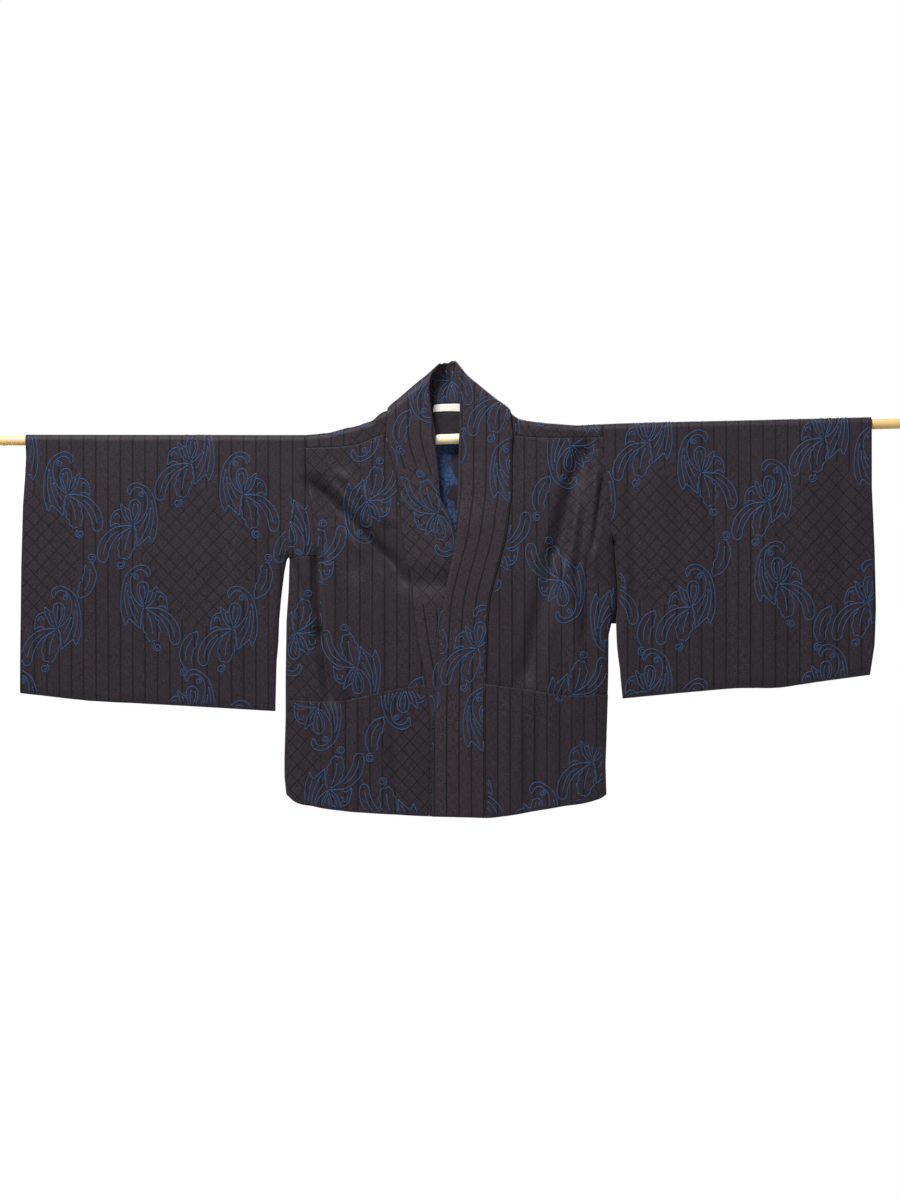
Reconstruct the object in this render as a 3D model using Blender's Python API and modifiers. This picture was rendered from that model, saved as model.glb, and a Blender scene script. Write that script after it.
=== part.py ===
"""A short kimono jacket hung flat on a bamboo rod.

Metres, +Z up, the front towards -Y. The origin is on the rod's axis at the middle of the jacket.
The tables hold millimetres. In them x runs to the viewer's right, z runs up from the origin and
down runs down from it. Left and right are the viewer's.
"""

from types import SimpleNamespace

import bpy
import numpy as np

MM = 0.001
CLOTH = 1.3
BAND = 3.4
LABEL = 1.0
SEAM = 0.4
SIDE_SEAM = 0.6
EASE = 0.9
ROUNDING = 16.0
BAND_PROUD = 0.7
BAND_LAP = 4.6
BAND_BACK_Y = 11.8
BAND_FRONT_Y = -13.0
BAND_CREASE = 5.0


def table(names, *rows):
    """A table whose columns have these names, one row for each section."""
    return SimpleNamespace(**dict(zip(names.split(), np.array(rows, float).T)))


ROD = table(
    "x z radius",
    (-780, -2.5, 7.9),
    (-400, -3.0, 8.0),
    (-240, -3.3, 8.2),
    (0, 0.0, 8.5),
    (130, 7.0, 8.7),
    (252, 13.8, 8.9),
    (500, 20.5, 9.1),
    (780, 27.4, 9.4),
)
ROD_NODE = table("x swell", (-745, 0), (-740, 0), (-737, 0.7), (-734, 0), (-729, 0))

# Where the shoulders and the back of the neck stand higher than the rod.
SHOULDER = table(
    "x z",
    (-240, -5.0),
    (-212, -1.7),
    (-199, 0.0),
    (-173, 6.5),
    (-146, 13.0),
    (-133, 17.5),
    (-123, 22.0),
    (-115, 30.0),
    (-104, 36.0),
    (-86, 35.5),
    (-60, 39.0),
    (-30, 43.0),
    (0, 45.0),
    (30, 44.0),
    (60, 40.5),
    (88, 36.0),
    (104, 33.5),
    (112, 26.5),
    (120, 22.0),
    (133, 19.8),
    (153, 16.6),
    (179, 14.7),
    (199, 13.0),
    (240, 11.0),
)

# How far the cloth hangs out from its turn over the rod.
HANG = table(
    "down body_front body_back sleeve_front sleeve_back",
    (0, 0.0, 0.0, 0.0, 0.0),
    (60, 2.0, 0.5, 0.5, 0.0),
    (200, 7.0, 2.0, 0.5, -1.0),
    (350, 9.0, 2.0, -1.5, -3.0),
    (450, 8.0, 1.0, -4.5, -5.0),
    (630, 3.0, -1.0, -4.5, -5.0),
)
BODY_BEGINS = table("x share", (-330, 0), (-190, 1), (205, 1), (350, 0))

# The armholes, and under each of them the body's side and the sleeve's inner edge, which are
# closed. Under the left armhole the seam turns out sideways to where the sleeve and body part.
ARMHOLE_LEFT = [(-15, -236), (35, -236), (80, -231), (118, -225), (170, -221), (193.3, -218)]
ARMHOLE_RIGHT = [(-35, 257), (30, 257), (76, 264), (149, 268)]
STEP_LEFT = table("x down", (-263, 196.6), (-218, 193.3))
BODY_LEFT = [
    (196.6, -263),
    (201, -262.5),
    (250, -264),
    (300, -267.5),
    (395, -269),
    (460, -269),
    (530, -271),
    (560, -271),
    (588, -268),
]
BODY_RIGHT = [
    (171, 274),
    (246, 279.5),
    (277, 278.6),
    (300, 272),
    (325, 266),
    (395, 265.4),
    (433, 264),
    (500, 262),
    (540, 260.6),
    (588, 262),
]
SLEEVE_INNER_LEFT = [
    (196.2, -264.8),
    (200, -268),
    (221, -272),
    (261, -277),
    (300, -280.5),
    (340, -282),
    (370, -285),
    (452, -287),
]
SLEEVE_INNER_RIGHT = [
    (171, 276.2),
    (246, 281.7),
    (277, 281),
    (300, 279),
    (340, 280.5),
    (360, 282.5),
    (380, 285.5),
    (400, 287),
    (433, 290.5),
]
GUIDE_LEFT = [(193.3, -218), (320, -214), (460, -212), (600, -210)]


def moved(rows, down, x):
    return [(row_down + down, row_x + x) for row_down, row_x in rows]


CLOSED_LEFT = table("down x", *BODY_LEFT)
CLOSED_RIGHT = table("down x", *BODY_RIGHT)
SIDE_RIGHT = table("down x", *ARMHOLE_RIGHT, *BODY_RIGHT)
BODY_GUIDE_LEFT = table("down x", *ARMHOLE_LEFT, *GUIDE_LEFT[1:])
SLEEVE_ARMHOLE_LEFT = table("down x", *moved(ARMHOLE_LEFT, -SEAM, -SEAM))
INNER_LEFT = table("down x", (-15, -262), *SLEEVE_INNER_LEFT)
INNER_RIGHT = table("down x", *moved(ARMHOLE_RIGHT, 0, SEAM), *SLEEVE_INNER_RIGHT)
CUFF_LEFT = table(
    "down x",
    (-12, -701),
    (30, -699),
    (60, -700.5),
    (110, -704),
    (210, -707),
    (430, -710),
)
CUFF_RIGHT = table(
    "down x",
    (-40, 702),
    (80, 702),
    (190, 707),
    (280, 709),
    (340, 707),
    (380, 701),
    (400, 699),
)
BOTTOM_LEFT = table("x down", (-711, 421), (-594, 434), (-478, 440), (-287, 451))
BOTTOM_RIGHT = table(
    "x down",
    (290, 430),
    (407, 419),
    (480, 413),
    (553, 412),
    (604, 404),
    (699, 391),
)

SHOULDER_SEAM_LEFT = table("x down", (-236, 15), (-171, 12), (-143, 7), (-120, -3), (-103, -8))
SHOULDER_SEAM_RIGHT = table("x down", (107, -5), (154, -2), (232, -3), (258, -3))
POCKET_MOUTH = table(
    "x down",
    (-272, 433),
    (-168, 433),
    (-101, 417),
    (-33, 407),
    (61, 405),
    (91, 410),
    (151, 418),
    (183, 424),
    (266, 423),
)
HEM = table(
    "x down",
    (-268, 588),
    (-259, 597),
    (-221, 609),
    (-166, 617),
    (-110, 621),
    (-36, 625),
    (38, 627),
    (61, 628),
    (111, 622),
    (186, 609),
    (242, 599),
    (255, 594),
    (262, 588),
)

# The two front lengths of the collar band, from the neck to the hem.
BAND_LEFT = table(
    "down sewn_x free_x",
    (-5, -102.9, -20.8),
    (18, -98, -19.5),
    (43, -90, -17.5),
    (68, -83, -15),
    (101, -79.7, -11),
    (125, -78, 3),
    (151, -76.4, 12),
    (194, -69.7, 20),
    (229, -61.4, 28),
    (282, -56.4, 33),
    (350, -46.5, 43),
    (400, -36.5, 52),
    (433, -32.2, 56),
    (627, -31.5, 57),
)
BAND_RIGHT = table(
    "down sewn_x free_x",
    (-5, 107.2, 18.4),
    (22, 106.2, 17.5),
    (51, 106, 17),
    (95, 105, 15.8),
    (125, 101, 14.5),
    (168, 94.6, 11),
    (186, 90, 9.5),
    (226, 79, 1),
    (267, 69.5, -6.6),
    (300, 66.4, -11.6),
    (365, 63.5, -16),
    (417, 62, -20),
    (511, 61.4, -24),
    (627, 61.4, -26.6),
)
BAND_LAP_BEGINS = table("down share", (90, 0), (150, 1))

# The band round the neck. Each section goes from the sewn edge to the turn, which is the
# collar's outline from the front, and from the turn down in front to the free edge.
NECK = table(
    "sewn_x sewn_z turn_x turn_z free_x free_z",
    (-102.9, 7.7, -102.9, 7.7, -20.8, 7.7),
    (-101.7, 27, -101.7, 27, -24, 28),
    (-99.6, 49.5, -99.6, 49.5, -28, 50),
    (-87.5, 40, -79, 68.5, -30.5, 71),
    (-65, 39.6, -54, 90, -30.5, 90),
    (-43, 42.2, -33, 107, -27, 105),
    (-22, 44.8, -12.5, 125, -12.5, 125),
    (0, 46, 0, 127.5, 0, 127.5),
    (22, 45.4, 11.5, 129, 11.5, 129),
    (43, 43.4, 31, 106, 12.5, 105),
    (65, 40.9, 53, 87.5, 18.3, 90),
    (88.5, 40, 77, 68, 19.4, 71),
    (102.6, 48, 102.6, 48, 19.4, 50),
    (105.5, 26, 105.5, 26, 19, 26),
    (107.2, 5, 107.2, 5, 18.4, 5),
)
# The sections between which the band is folded, and those where its free edge is the top.
FIRST_TURN, LAST_TURN = 2, 12
OPEN_FROM, OPEN_TO = 6, 8
NECK_ROUNDING = 12.0
# The crease down the inside of the collar's back.
CREASE_X, CREASE_WIDTH = 3, 10
CREASE_FROM, CREASE_TO = 60, 100
# The label: sections counted from the middle of the back, and how far up the band it lies.
LABEL_SECTIONS = np.linspace(-1.15, 0.98, 7)
LABEL_PLACES = np.array([-0.99, -0.915, -0.84])

# The largest folds: each runs from one place to another, and height is how far it stands out.
FRONT_FOLDS = table(
    "from_x from_down to_x to_down half_width height",
    (-221, 200, -200, 418, 14, -5.5),
    (-200, 195, -172, 428, 22, 6.0),
    (-240, 430, -246, 588, 18, 3.0),
    (-190, 80, -140, 190, 20, 3.5),
    (-110, 150, -78, 245, 18, -3.0),
    (-120, 270, -112, 610, 28, 3.5),
    (233, 25, 214, 225, 16, -4.0),
    (246, 60, 240, 225, 12, 3.0),
    (213, 215, 237, 390, 14, -4.5),
    (192, 200, 212, 400, 20, 5.0),
    (160, 230, 172, 600, 22, 4.0),
    (125, 420, 136, 620, 18, -3.0),
    (98, 440, 100, 625, 16, 3.0),
    (-330, 30, -362, 430, 34, 3.0),
    (-432, 60, -440, 425, 30, -2.0),
    (-560, 20, -592, 420, 38, 2.5),
    (345, 40, 372, 400, 34, 3.0),
    (450, 60, 470, 400, 30, -2.0),
    (590, 10, 612, 390, 38, 2.5),
)
BACK_FOLDS = table(
    "from_x from_down to_x to_down half_width height",
    (-205, 190, -182, 600, 26, 5.0),
    (-130, 60, -112, 610, 34, 4.0),
    (-20, 120, -6, 610, 40, -2.0),
    (92, 60, 82, 610, 36, 4.0),
    (196, 160, 206, 600, 26, 4.0),
    (-380, 30, -350, 420, 34, 2.0),
    (-550, 40, -560, 420, 38, 2.5),
    (400, 30, 380, 400, 34, 2.0),
    (560, 40, 575, 380, 38, 2.5),
)
MOUTH_GAPE_LEFT = 1.2
MOUTH_GAPE_RIGHT = 4.5

DARK_CLOTH = ((0.045, 0.037, 0.045, 1.0), 0.85)
BAND_CLOTH = ((0.048, 0.038, 0.048, 1.0), 0.8)
POCKET_CLOTH = ((0.04, 0.033, 0.042, 1.0), 0.85)
CREAM_TAPE = ((0.81, 0.80, 0.73, 1.0), 0.7)
BAMBOO = ((0.80, 0.56, 0.26, 1.0), 0.35)


def smooth(at, xs, ys):
    """A smooth curve through a table's points: cubic pieces with their neighbours' slopes."""
    slopes = np.gradient(ys, xs)
    at = np.clip(at, xs[0], xs[-1])
    piece = np.clip(np.searchsorted(xs, at) - 1, 0, len(xs) - 2)
    step = xs[piece + 1] - xs[piece]
    t = (at - xs[piece]) / step
    value = (1 + 2 * t) * (1 - t) ** 2 * ys[piece] + t * t * (3 - 2 * t) * ys[piece + 1]
    return value + t * (1 - t) * step * ((1 - t) * slopes[piece] - t * slopes[piece + 1])


def mix(first, second, share):
    return first + (second - first) * share


def ease(share):
    share = np.clip(share, 0, 1)
    return share * share * (3 - 2 * share)


def rod_height(x):
    return smooth(x, ROD.x, ROD.z)


def rod_radius(x):
    return smooth(x, ROD.x, ROD.radius)


def ridge_height(x):
    """The height of the middle of the cloth's turn over the rod."""
    on_body = np.abs(x) <= SHOULDER.x[-1]
    shoulder = smooth(x, SHOULDER.x, SHOULDER.z)
    return np.where(on_body, np.maximum(rod_height(x), shoulder), rod_height(x))


def turn_radius(x):
    return rod_radius(x) + EASE + CLOTH / 2


def fold_height(x, down, folds):
    """How far the folds lift the cloth: across a fold a raised cosine, fading at both its ends."""
    x, down = np.broadcast_arrays(x, down)
    lift = np.zeros(x.shape)
    for from_x, from_down, to_x, to_down, half_width, height in zip(*vars(folds).values()):
        share = (down - from_down) / (to_down - from_down)
        across = (x - mix(from_x, to_x, np.clip(share, 0, 1))) / half_width
        inside = np.abs(across) < 1
        fade = ease(share / 0.25 + 0.5) * ease((1 - share) / 0.25 + 0.5)
        lift = lift + inside * height * fade * (0.5 + 0.5 * np.cos(np.pi * np.where(inside, across, 1)))
    return lift


def hang_of(part, down):
    return smooth(down, HANG.down, getattr(HANG, part))


def body_share(x):
    """0 on the sleeves and 1 on the body."""
    return ease(np.interp(x, BODY_BEGINS.x, BODY_BEGINS.share))


def front_y(x, down):
    """The front layer's depth."""
    share = body_share(x)
    hang = mix(hang_of("sleeve_front", down), hang_of("body_front", down), share)
    return -turn_radius(x) - hang - fold_height(x, down, FRONT_FOLDS)


def back_y(x, down):
    """The back layer's depth."""
    share = body_share(x)
    hang = mix(hang_of("sleeve_back", down), hang_of("body_back", down), share)
    return turn_radius(x) + hang + fold_height(x, down, BACK_FOLDS)


def distance_to(line, x, down):
    """How far each point is from a line through the table's points."""
    points = np.stack(np.broadcast_arrays(x, down), -1)[..., None, :]
    starts = np.stack([line.x, line.down], -1)[:-1]
    steps = np.diff(np.stack([line.x, line.down], -1), axis=0)
    share = ((points - starts) * steps).sum(-1) / (steps * steps).sum(-1)
    nearest = starts + steps * np.clip(share, 0, 1)[..., None]
    return np.sqrt(((points - nearest) ** 2).sum(-1)).min(-1)


def rounded(distance, radius):
    """0 on a closed edge and 1 from this far away, along a quarter of a circle."""
    return np.sqrt(1 - (1 - np.clip(distance / radius, 0, 1)) ** 2)


def middle_y(x, down):
    """The depth of the closed edges, halfway between the layers without their folds."""
    share = body_share(x)
    front = mix(hang_of("sleeve_front", down), hang_of("body_front", down), share)
    back = mix(hang_of("sleeve_back", down), hang_of("body_back", down), share)
    return 0.5 * (back - front)


def closed_layer(x, down, closures, layer_y, gap):
    """A layer's depth where it comes round to the other layer along its closed edges."""
    distance = np.min([distance_to(line, x, down) for line in closures], axis=0)
    return mix(middle_y(x, down) + gap, layer_y(x, down), rounded(distance, ROUNDING))


def along_line(line, edge, across):
    """How far down a line lies, at each share of the way across."""
    down = np.full(np.shape(across), line.down[0])
    for _ in range(8):
        down = smooth(edge(down, across), line.x, line.down)
    return down


def between(*lines):
    """Where a column lies: across is 0 on the first line, 1 on the second and 2 on the third."""

    def place(down, across):
        x = [line(down) for line in lines]
        at = mix(x[0], x[1], np.clip(across, 0, 1))
        if len(lines) == 3:
            at = at + (x[2] - x[1]) * np.clip(across - 1, 0, 1)
        return at

    return place


def straight(edge):
    return lambda down: np.interp(down, edge.down, edge.x)


def band_seam(band, shift):
    return lambda down: smooth(down, band.down, band.sewn_x) + shift


def panel_point(x, down, y):
    return np.stack(np.broadcast_arrays(x, y, -down), -1)


def row_shares(rows, top, bottom):
    return (np.array(rows, float) - top) / (bottom - top)


# The rows that all the pieces share at their armhole and side seams, down each side.
SIDE_ROWS = table(
    "left right",
    (35, 30),
    (80, 76),
    (118, 112),
    (145, 149),
    (170, 160),
    (184, 167),
    (193.3, 171),
    (221, 205),
    (250, 246),
    (300, 277),
    (345, 300),
    (395, 345),
)
ARMHOLE_ROWS = 7
POCKET_ROWS = np.array([0, 0.12, 0.35, 0.65, 1])
FRONT_COLUMNS = np.array([0, 0.12, 0.24, 0.35, 0.45, 0.54, 0.62, 0.7, 0.78, 0.85, 0.92])
SIDE_PANEL_COLUMNS = np.array([1, 1.25, 1.45, 1.62, 1.77, 1.89, 1.965, 2])
RIGHT_SIDE_COLUMNS = np.array([0.955, 0.98, 0.994, 1])


def front_points(band, seam, edges, across, side_rows):
    """Points of a front: rows from its shoulder seam to the hem, columns from the band to the side."""
    place = between(*edges)
    outer = max(across.max(), 1)
    top = along_line(seam, place, np.minimum(across, 1)) + SEAM / 2
    mouth = along_line(POCKET_MOUTH, place, across)
    hem = along_line(HEM, place, across)
    at_guide = np.searchsorted(across, 1)
    shares = row_shares(side_rows, top[at_guide], mouth[at_guide])[:, None]
    below = row_shares(side_rows, side_rows[ARMHOLE_ROWS - 1], mouth[at_guide])[:, None]
    down = mix(top, mouth, shares)
    if outer > 1:
        step = mix(STEP_LEFT.down[1], STEP_LEFT.down[0], np.clip(across - 1, 0, 1))
        down = np.where(across > 1, mix(step, mouth, below), down)
    pocket = mix(mouth, hem, POCKET_ROWS[:, None])
    down = np.concatenate([[top], down, pocket])
    x = place(down, across)
    closure = CLOSED_LEFT if outer > 1 else CLOSED_RIGHT
    return panel_point(x, down, closed_layer(x, down, [closure], front_y, -SIDE_SEAM / 2))


def numbered(points):
    return np.arange(points.shape[0] * points.shape[1]).reshape(points.shape[:2])


def front_left():
    edges = (band_seam(BAND_LEFT, -SEAM / 2), straight(BODY_GUIDE_LEFT), straight(CLOSED_LEFT))
    across = np.concatenate([FRONT_COLUMNS, SIDE_PANEL_COLUMNS])
    points = front_points(BAND_LEFT, SHOULDER_SEAM_LEFT, edges, across, SIDE_ROWS.left)
    ids = numbered(points)
    ids[:ARMHOLE_ROWS, across > 1] = -1
    return points, ids


def front_right():
    edges = (band_seam(BAND_RIGHT, SEAM / 2), straight(SIDE_RIGHT))
    across = np.concatenate([FRONT_COLUMNS, RIGHT_SIDE_COLUMNS])
    points = front_points(BAND_RIGHT, SHOULDER_SEAM_RIGHT, edges, across, SIDE_ROWS.right)
    return points, numbered(points)


BACK_COLUMN_X = np.array(
    [-205, -186, -168, -152, -138, -126, -116, -103.5, -101.2, -98, -93, -66, -36]
    + [0, 36, 70, 96, 100, 104, 107.5, 115, 126, 146, 172, 198, 224]
)
# How much of the way over the shoulder the back panel reaches, next to the neck.
NECKLINE = table(
    "x share",
    (-103.5, 1),
    (-101.2, 0.62),
    (-98, 0.3),
    (-93, 0),
    (96, 0),
    (100, 0.3),
    (104, 0.62),
    (107.5, 1),
)
ARC_STEPS = 5
OVER_STEPS = ARC_STEPS + 1
BACK_LOWER_ROWS = np.array([470, 530])


def back_panel():
    """The back's points: a grid on the back with flaps over both shoulders."""
    place = between(straight(SIDE_RIGHT), straight(BODY_GUIDE_LEFT), straight(CLOSED_LEFT))
    right_x, left_x = SIDE_RIGHT.x[0], BODY_GUIDE_LEFT.x[0]
    inner = (right_x - BACK_COLUMN_X[::-1]) / (right_x - left_x)
    across = np.concatenate([1 - RIGHT_SIDE_COLUMNS[::-1], inner, SIDE_PANEL_COLUMNS])
    share = np.clip(across, 0, 1)
    hem = along_line(HEM, place, across)
    top_x = mix(right_x, left_x, share)
    top = -ridge_height(top_x)
    at_guide = np.searchsorted(across, 1)
    left_rows = np.concatenate([SIDE_ROWS.left, BACK_LOWER_ROWS])
    right_rows = np.concatenate([SIDE_ROWS.right, BACK_LOWER_ROWS])
    left_shares = row_shares(left_rows, top[at_guide], hem[at_guide])
    right_shares = row_shares(right_rows, top[0], hem[0])
    down = mix(top, hem, mix(right_shares[:, None], left_shares[:, None], share))
    below = row_shares(left_rows, SIDE_ROWS.left[ARMHOLE_ROWS - 1], hem[at_guide])[:, None]
    step = mix(STEP_LEFT.down[1], STEP_LEFT.down[0], np.clip(across - 1, 0, 1))
    down = np.where(across > 1, mix(step, hem, below), down)
    down = np.concatenate([[top], down, [hem]])
    x = place(down, across)
    x[0] = top_x
    y = closed_layer(x, down, [CLOSED_LEFT, CLOSED_RIGHT], back_y, SIDE_SEAM / 2)
    grid = panel_point(x, down, y)[::-1]
    reach = np.interp(top_x, NECKLINE.x, NECKLINE.share)
    over = np.arange(1, OVER_STEPS + 1)[:, None] * reach
    angle = np.clip(over / ARC_STEPS, 0, 1) * np.pi
    radius = turn_radius(top_x)
    seam_left = smooth(top_x, SHOULDER_SEAM_LEFT.x, SHOULDER_SEAM_LEFT.down)
    seam_right = smooth(top_x, SHOULDER_SEAM_RIGHT.x, SHOULDER_SEAM_RIGHT.down)
    seam = np.where(top_x < 0, seam_left, seam_right) - SEAM / 2
    strip_down = mix(top, seam, np.clip(over - ARC_STEPS, 0, 1))
    strip_down = np.where(over > ARC_STEPS, strip_down, top - radius * np.sin(angle))
    strip_y = np.where(over > ARC_STEPS, front_y(top_x, strip_down), radius * np.cos(angle))
    flap = panel_point(np.broadcast_to(top_x, strip_down.shape), strip_down, strip_y)
    points = np.concatenate([grid, flap])
    ids = numbered(points)
    ids[len(grid) :, reach == 0] = ids[len(grid) - 1, reach == 0]
    ids[len(grid) - ARMHOLE_ROWS :, across > 1] = -1
    return points, ids


SLEEVE_COLUMNS = np.array([0, 0.07, 0.15, 0.23, 0.31, 0.39, 0.47, 0.55, 0.63, 0.71, 0.79, 0.86, 0.92])
SLEEVE_EDGE_COLUMNS = np.array([0.962, 0.984, 0.995, 1])
STEP_COLUMNS = np.array([1.05, 1.18, 1.4, 1.7, 2])
SLEEVE_BOTTOM_STEPS = np.array([0.962, 0.984, 0.9955, 1])
SLEEVE_ROWS = 10


def sleeve(side_rows, edges, across, bottom, inner_rows):
    """A sleeve's points: rings from the bottom up the front, over the rod and down the back."""
    side_rows = side_rows[:SLEEVE_ROWS]
    ends = sorted(zip(bottom.down, bottom.x), key=lambda row: abs(row[1]))
    closure = table("down x", *inner_rows, *ends)
    place = between(*edges)
    share = np.clip(across, 0, 1)
    hem = along_line(bottom, place, share)
    top_x = place(0.0, across)
    top = -ridge_height(top_x)
    corner = np.searchsorted(across, 1)
    shares = np.concatenate([row_shares(side_rows, top[corner], hem[corner]), SLEEVE_BOTTOM_STEPS])
    down = mix(top, hem, shares[:, None])
    if across[-1] > 1:
        step_ends = SLEEVE_INNER_LEFT[0][0], STEP_LEFT.down[1] - SEAM
        step = mix(*step_ends, np.clip(across - 1, 0, 1))
        above = np.clip(row_shares(side_rows, top[-1], SIDE_ROWS.left[ARMHOLE_ROWS - 1]), 0, 1)
        above = np.concatenate([above, SLEEVE_BOTTOM_STEPS])[:, None]
        corner_shares = shares.copy()
        corner_height = hem[corner] - top[corner]
        corner_shares[ARMHOLE_ROWS - 1] = (step_ends[0] - top[corner]) / corner_height
        down = mix(top, hem, corner_shares[:, None])
        down = np.where(across > 1, mix(top, step, above), down)
    down = np.concatenate([[top], down])
    x = place(down, across)
    x[0] = top_x
    front = panel_point(x, down, closed_layer(x, down, [closure], front_y, 0))
    back = panel_point(x, down, closed_layer(x, down, [closure], back_y, 0))
    angle = np.pi * np.arange(1, ARC_STEPS)[:, None] / ARC_STEPS
    radius = turn_radius(top_x)
    arc = panel_point(top_x + 0 * angle, top - radius * np.sin(angle), -radius * np.cos(angle))
    points = np.concatenate([front[::-1], arc, back])
    ids = numbered(points)
    ids[-1] = ids[0]
    rows = len(front)
    for row in range(ARMHOLE_ROWS, rows - 1):
        ids[rows + ARC_STEPS - 1 + row, corner] = ids[rows - 1 - row, corner]
    below = np.r_[0 : rows - 1 - ARMHOLE_ROWS, rows + ARC_STEPS + ARMHOLE_ROWS : len(points)]
    ids[np.ix_(below, across > 1)] = -1
    return points, ids


def sleeve_left():
    edges = (straight(CUFF_LEFT), straight(INNER_LEFT), straight(SLEEVE_ARMHOLE_LEFT))
    across = np.concatenate([SLEEVE_COLUMNS, SLEEVE_EDGE_COLUMNS, STEP_COLUMNS])
    return sleeve(SIDE_ROWS.left, edges, across, BOTTOM_LEFT, SLEEVE_INNER_LEFT)


def sleeve_right():
    edges = (straight(CUFF_RIGHT), straight(INNER_RIGHT))
    across = np.concatenate([SLEEVE_COLUMNS, SLEEVE_EDGE_COLUMNS])
    return sleeve(SIDE_ROWS.right, edges, across, BOTTOM_RIGHT, SLEEVE_INNER_RIGHT)


def front_strip_y(band, lap, down, share):
    """The depth of a front length of the band, whose free edge laps over or under the other."""
    sewn = front_y(smooth(down, band.down, band.sewn_x), down) - BAND_PROUD
    lapped = ease(np.interp(down, BAND_LAP_BEGINS.down, BAND_LAP_BEGINS.share)) * lap
    return sewn - lapped * share


def front_strip(band, lap, shift, down, share):
    """A front length of the band, whose last row is the hem."""
    sewn = smooth(down, band.down, band.sewn_x) + shift
    free = smooth(down, band.down, band.free_x)
    x = mix(sewn, free, share)
    down = np.broadcast_to(down, x.shape).copy()
    down[-1] = np.interp(x[-1], HEM.x, HEM.down)
    return panel_point(x, down, front_strip_y(band, lap, down, share))


def neck_sections(section):
    """The neck table's columns at any section, smooth between its rows."""
    order = np.arange(len(NECK.sewn_x), dtype=float)
    columns = {name: smooth(section, order, values) for name, values in vars(NECK).items()}
    row = SimpleNamespace(**columns)
    flat = (section <= FIRST_TURN) | (section >= LAST_TURN)
    row.turn_x = np.where(flat, row.sewn_x, row.turn_x)
    row.turn_z = np.where(flat, row.sewn_z, row.turn_z)
    return row


def neck_outline(first, last):
    """The line of the turn from one section to another."""
    row = neck_sections(np.linspace(first, last, (last - first) * NECK_STEPS + 1))
    return SimpleNamespace(x=row.turn_x, down=-row.turn_z)


def neck_band(section, place):
    """The band round the neck: place is -1 at the sewn edge, 0 at the turn and 1 at the free edge.

    The turn is halfway between the depths of the back and the front, which the band reaches
    along a quarter of a circle on each side of it.
    """
    row = neck_sections(section)
    behind, before = np.clip(-place, 0, 1), np.clip(place, 0, 1)
    x = mix(row.turn_x, row.sewn_x, behind) + (row.free_x - row.turn_x) * before
    z = mix(row.turn_z, row.sewn_z, behind) + (row.free_z - row.turn_z) * before
    outlines = (neck_outline(FIRST_TURN, OPEN_FROM), neck_outline(OPEN_TO, LAST_TURN))
    away = rounded(np.min([distance_to(line, x, -z) for line in outlines], axis=0), NECK_ROUNDING)
    crease = BAND_CREASE * np.exp(-(((x - CREASE_X) / CREASE_WIDTH) ** 2))
    crease = crease * ease((z - CREASE_FROM) / (CREASE_TO - CREASE_FROM))
    in_front = (place > 0) | (section <= FIRST_TURN) | (section >= LAST_TURN)
    layer = np.where(in_front, BAND_FRONT_Y, BAND_BACK_Y + crease)
    return np.stack([x, mix(0.5 * (BAND_BACK_Y + BAND_FRONT_Y), layer, away), z], -1)


BAND_PLACES = np.array([-1, -0.6, -0.3, -0.14, -0.05, 0, 0.04, 0.12, 0.25, 0.45, 0.72, 1])
NECK_STEPS = 2


def band_sheet(left_down, right_down):
    """The band's points: up the left front, round the neck and down the right front."""
    shares = np.clip(BAND_PLACES, 0, 1)
    left = front_strip(BAND_LEFT, -BAND_LAP, SEAM / 2, left_down[:, None], shares)
    right = front_strip(BAND_RIGHT, BAND_LAP, -SEAM / 2, right_down[:, None], shares)
    last = len(NECK.sewn_x) - 1
    section = np.linspace(0, last, last * NECK_STEPS + 1)[1:-1]
    neck = neck_band(section[:, None], BAND_PLACES)
    section = np.concatenate([np.zeros(len(left)), section, np.full(len(right), last)])
    points = np.concatenate([left[::-1], neck, right])
    ids = numbered(points)
    turn = np.searchsorted(BAND_PLACES, 0)
    flat = (section <= FIRST_TURN) | (section >= LAST_TURN)
    ids[flat, :turn] = ids[flat, turn][:, None]
    open_top = (section >= OPEN_FROM) & (section <= OPEN_TO)
    ids[open_top, turn:] = ids[open_top, turn][:, None]
    return points, ids


def normals_of(points):
    """The direction out of a grid at each of its points, from its neighbours."""
    down_rows = np.gradient(points, axis=0)
    across = np.gradient(points, axis=1)
    normal = np.cross(down_rows, across)
    return normal / np.linalg.norm(normal, axis=-1, keepdims=True)


def quads(ids):
    """The faces of a grid of point numbers, three-sided where two numbers are one point."""
    corners = np.stack([ids[:-1, :-1], ids[:-1, 1:], ids[1:, 1:], ids[1:, :-1]], -1).reshape(-1, 4)
    faces = []
    for face in corners[(corners >= 0).all(-1)].tolist():
        kept = [number for place, number in enumerate(face) if number != face[place - 1]]
        if len(kept) > 2:
            faces.append(kept)
    return faces


def material(name, look):
    colour, roughness = look
    made = bpy.data.materials.new(name)
    made.use_nodes = True
    shader = made.node_tree.nodes["Principled BSDF"]
    shader.inputs["Base Color"].default_value = colour
    shader.inputs["Roughness"].default_value = roughness
    shader.inputs["Metallic"].default_value = 0.0
    return made


def wall(collection, name, sheet, thickness, look):
    """A cloth wall with this thickness, half on each side of the sheet's points."""
    points, ids = sheet
    faces = quads(ids)
    used = np.unique([number for face in faces for number in face])
    numbers = np.zeros(ids.max() + 1, int)
    numbers[used] = np.arange(len(used))
    mesh = bpy.data.meshes.new(name)
    vertices = points.reshape(-1, 3)[used] * MM
    mesh.from_pydata(vertices.tolist(), [], [numbers[face].tolist() for face in faces])
    mesh.materials.append(material(name, look))
    mesh.shade_smooth()
    cloth = bpy.data.objects.new(name, mesh)
    collection.objects.link(cloth)
    shell = cloth.modifiers.new("wall", "SOLIDIFY")
    shell.thickness = thickness * MM
    shell.offset = 0


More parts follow.
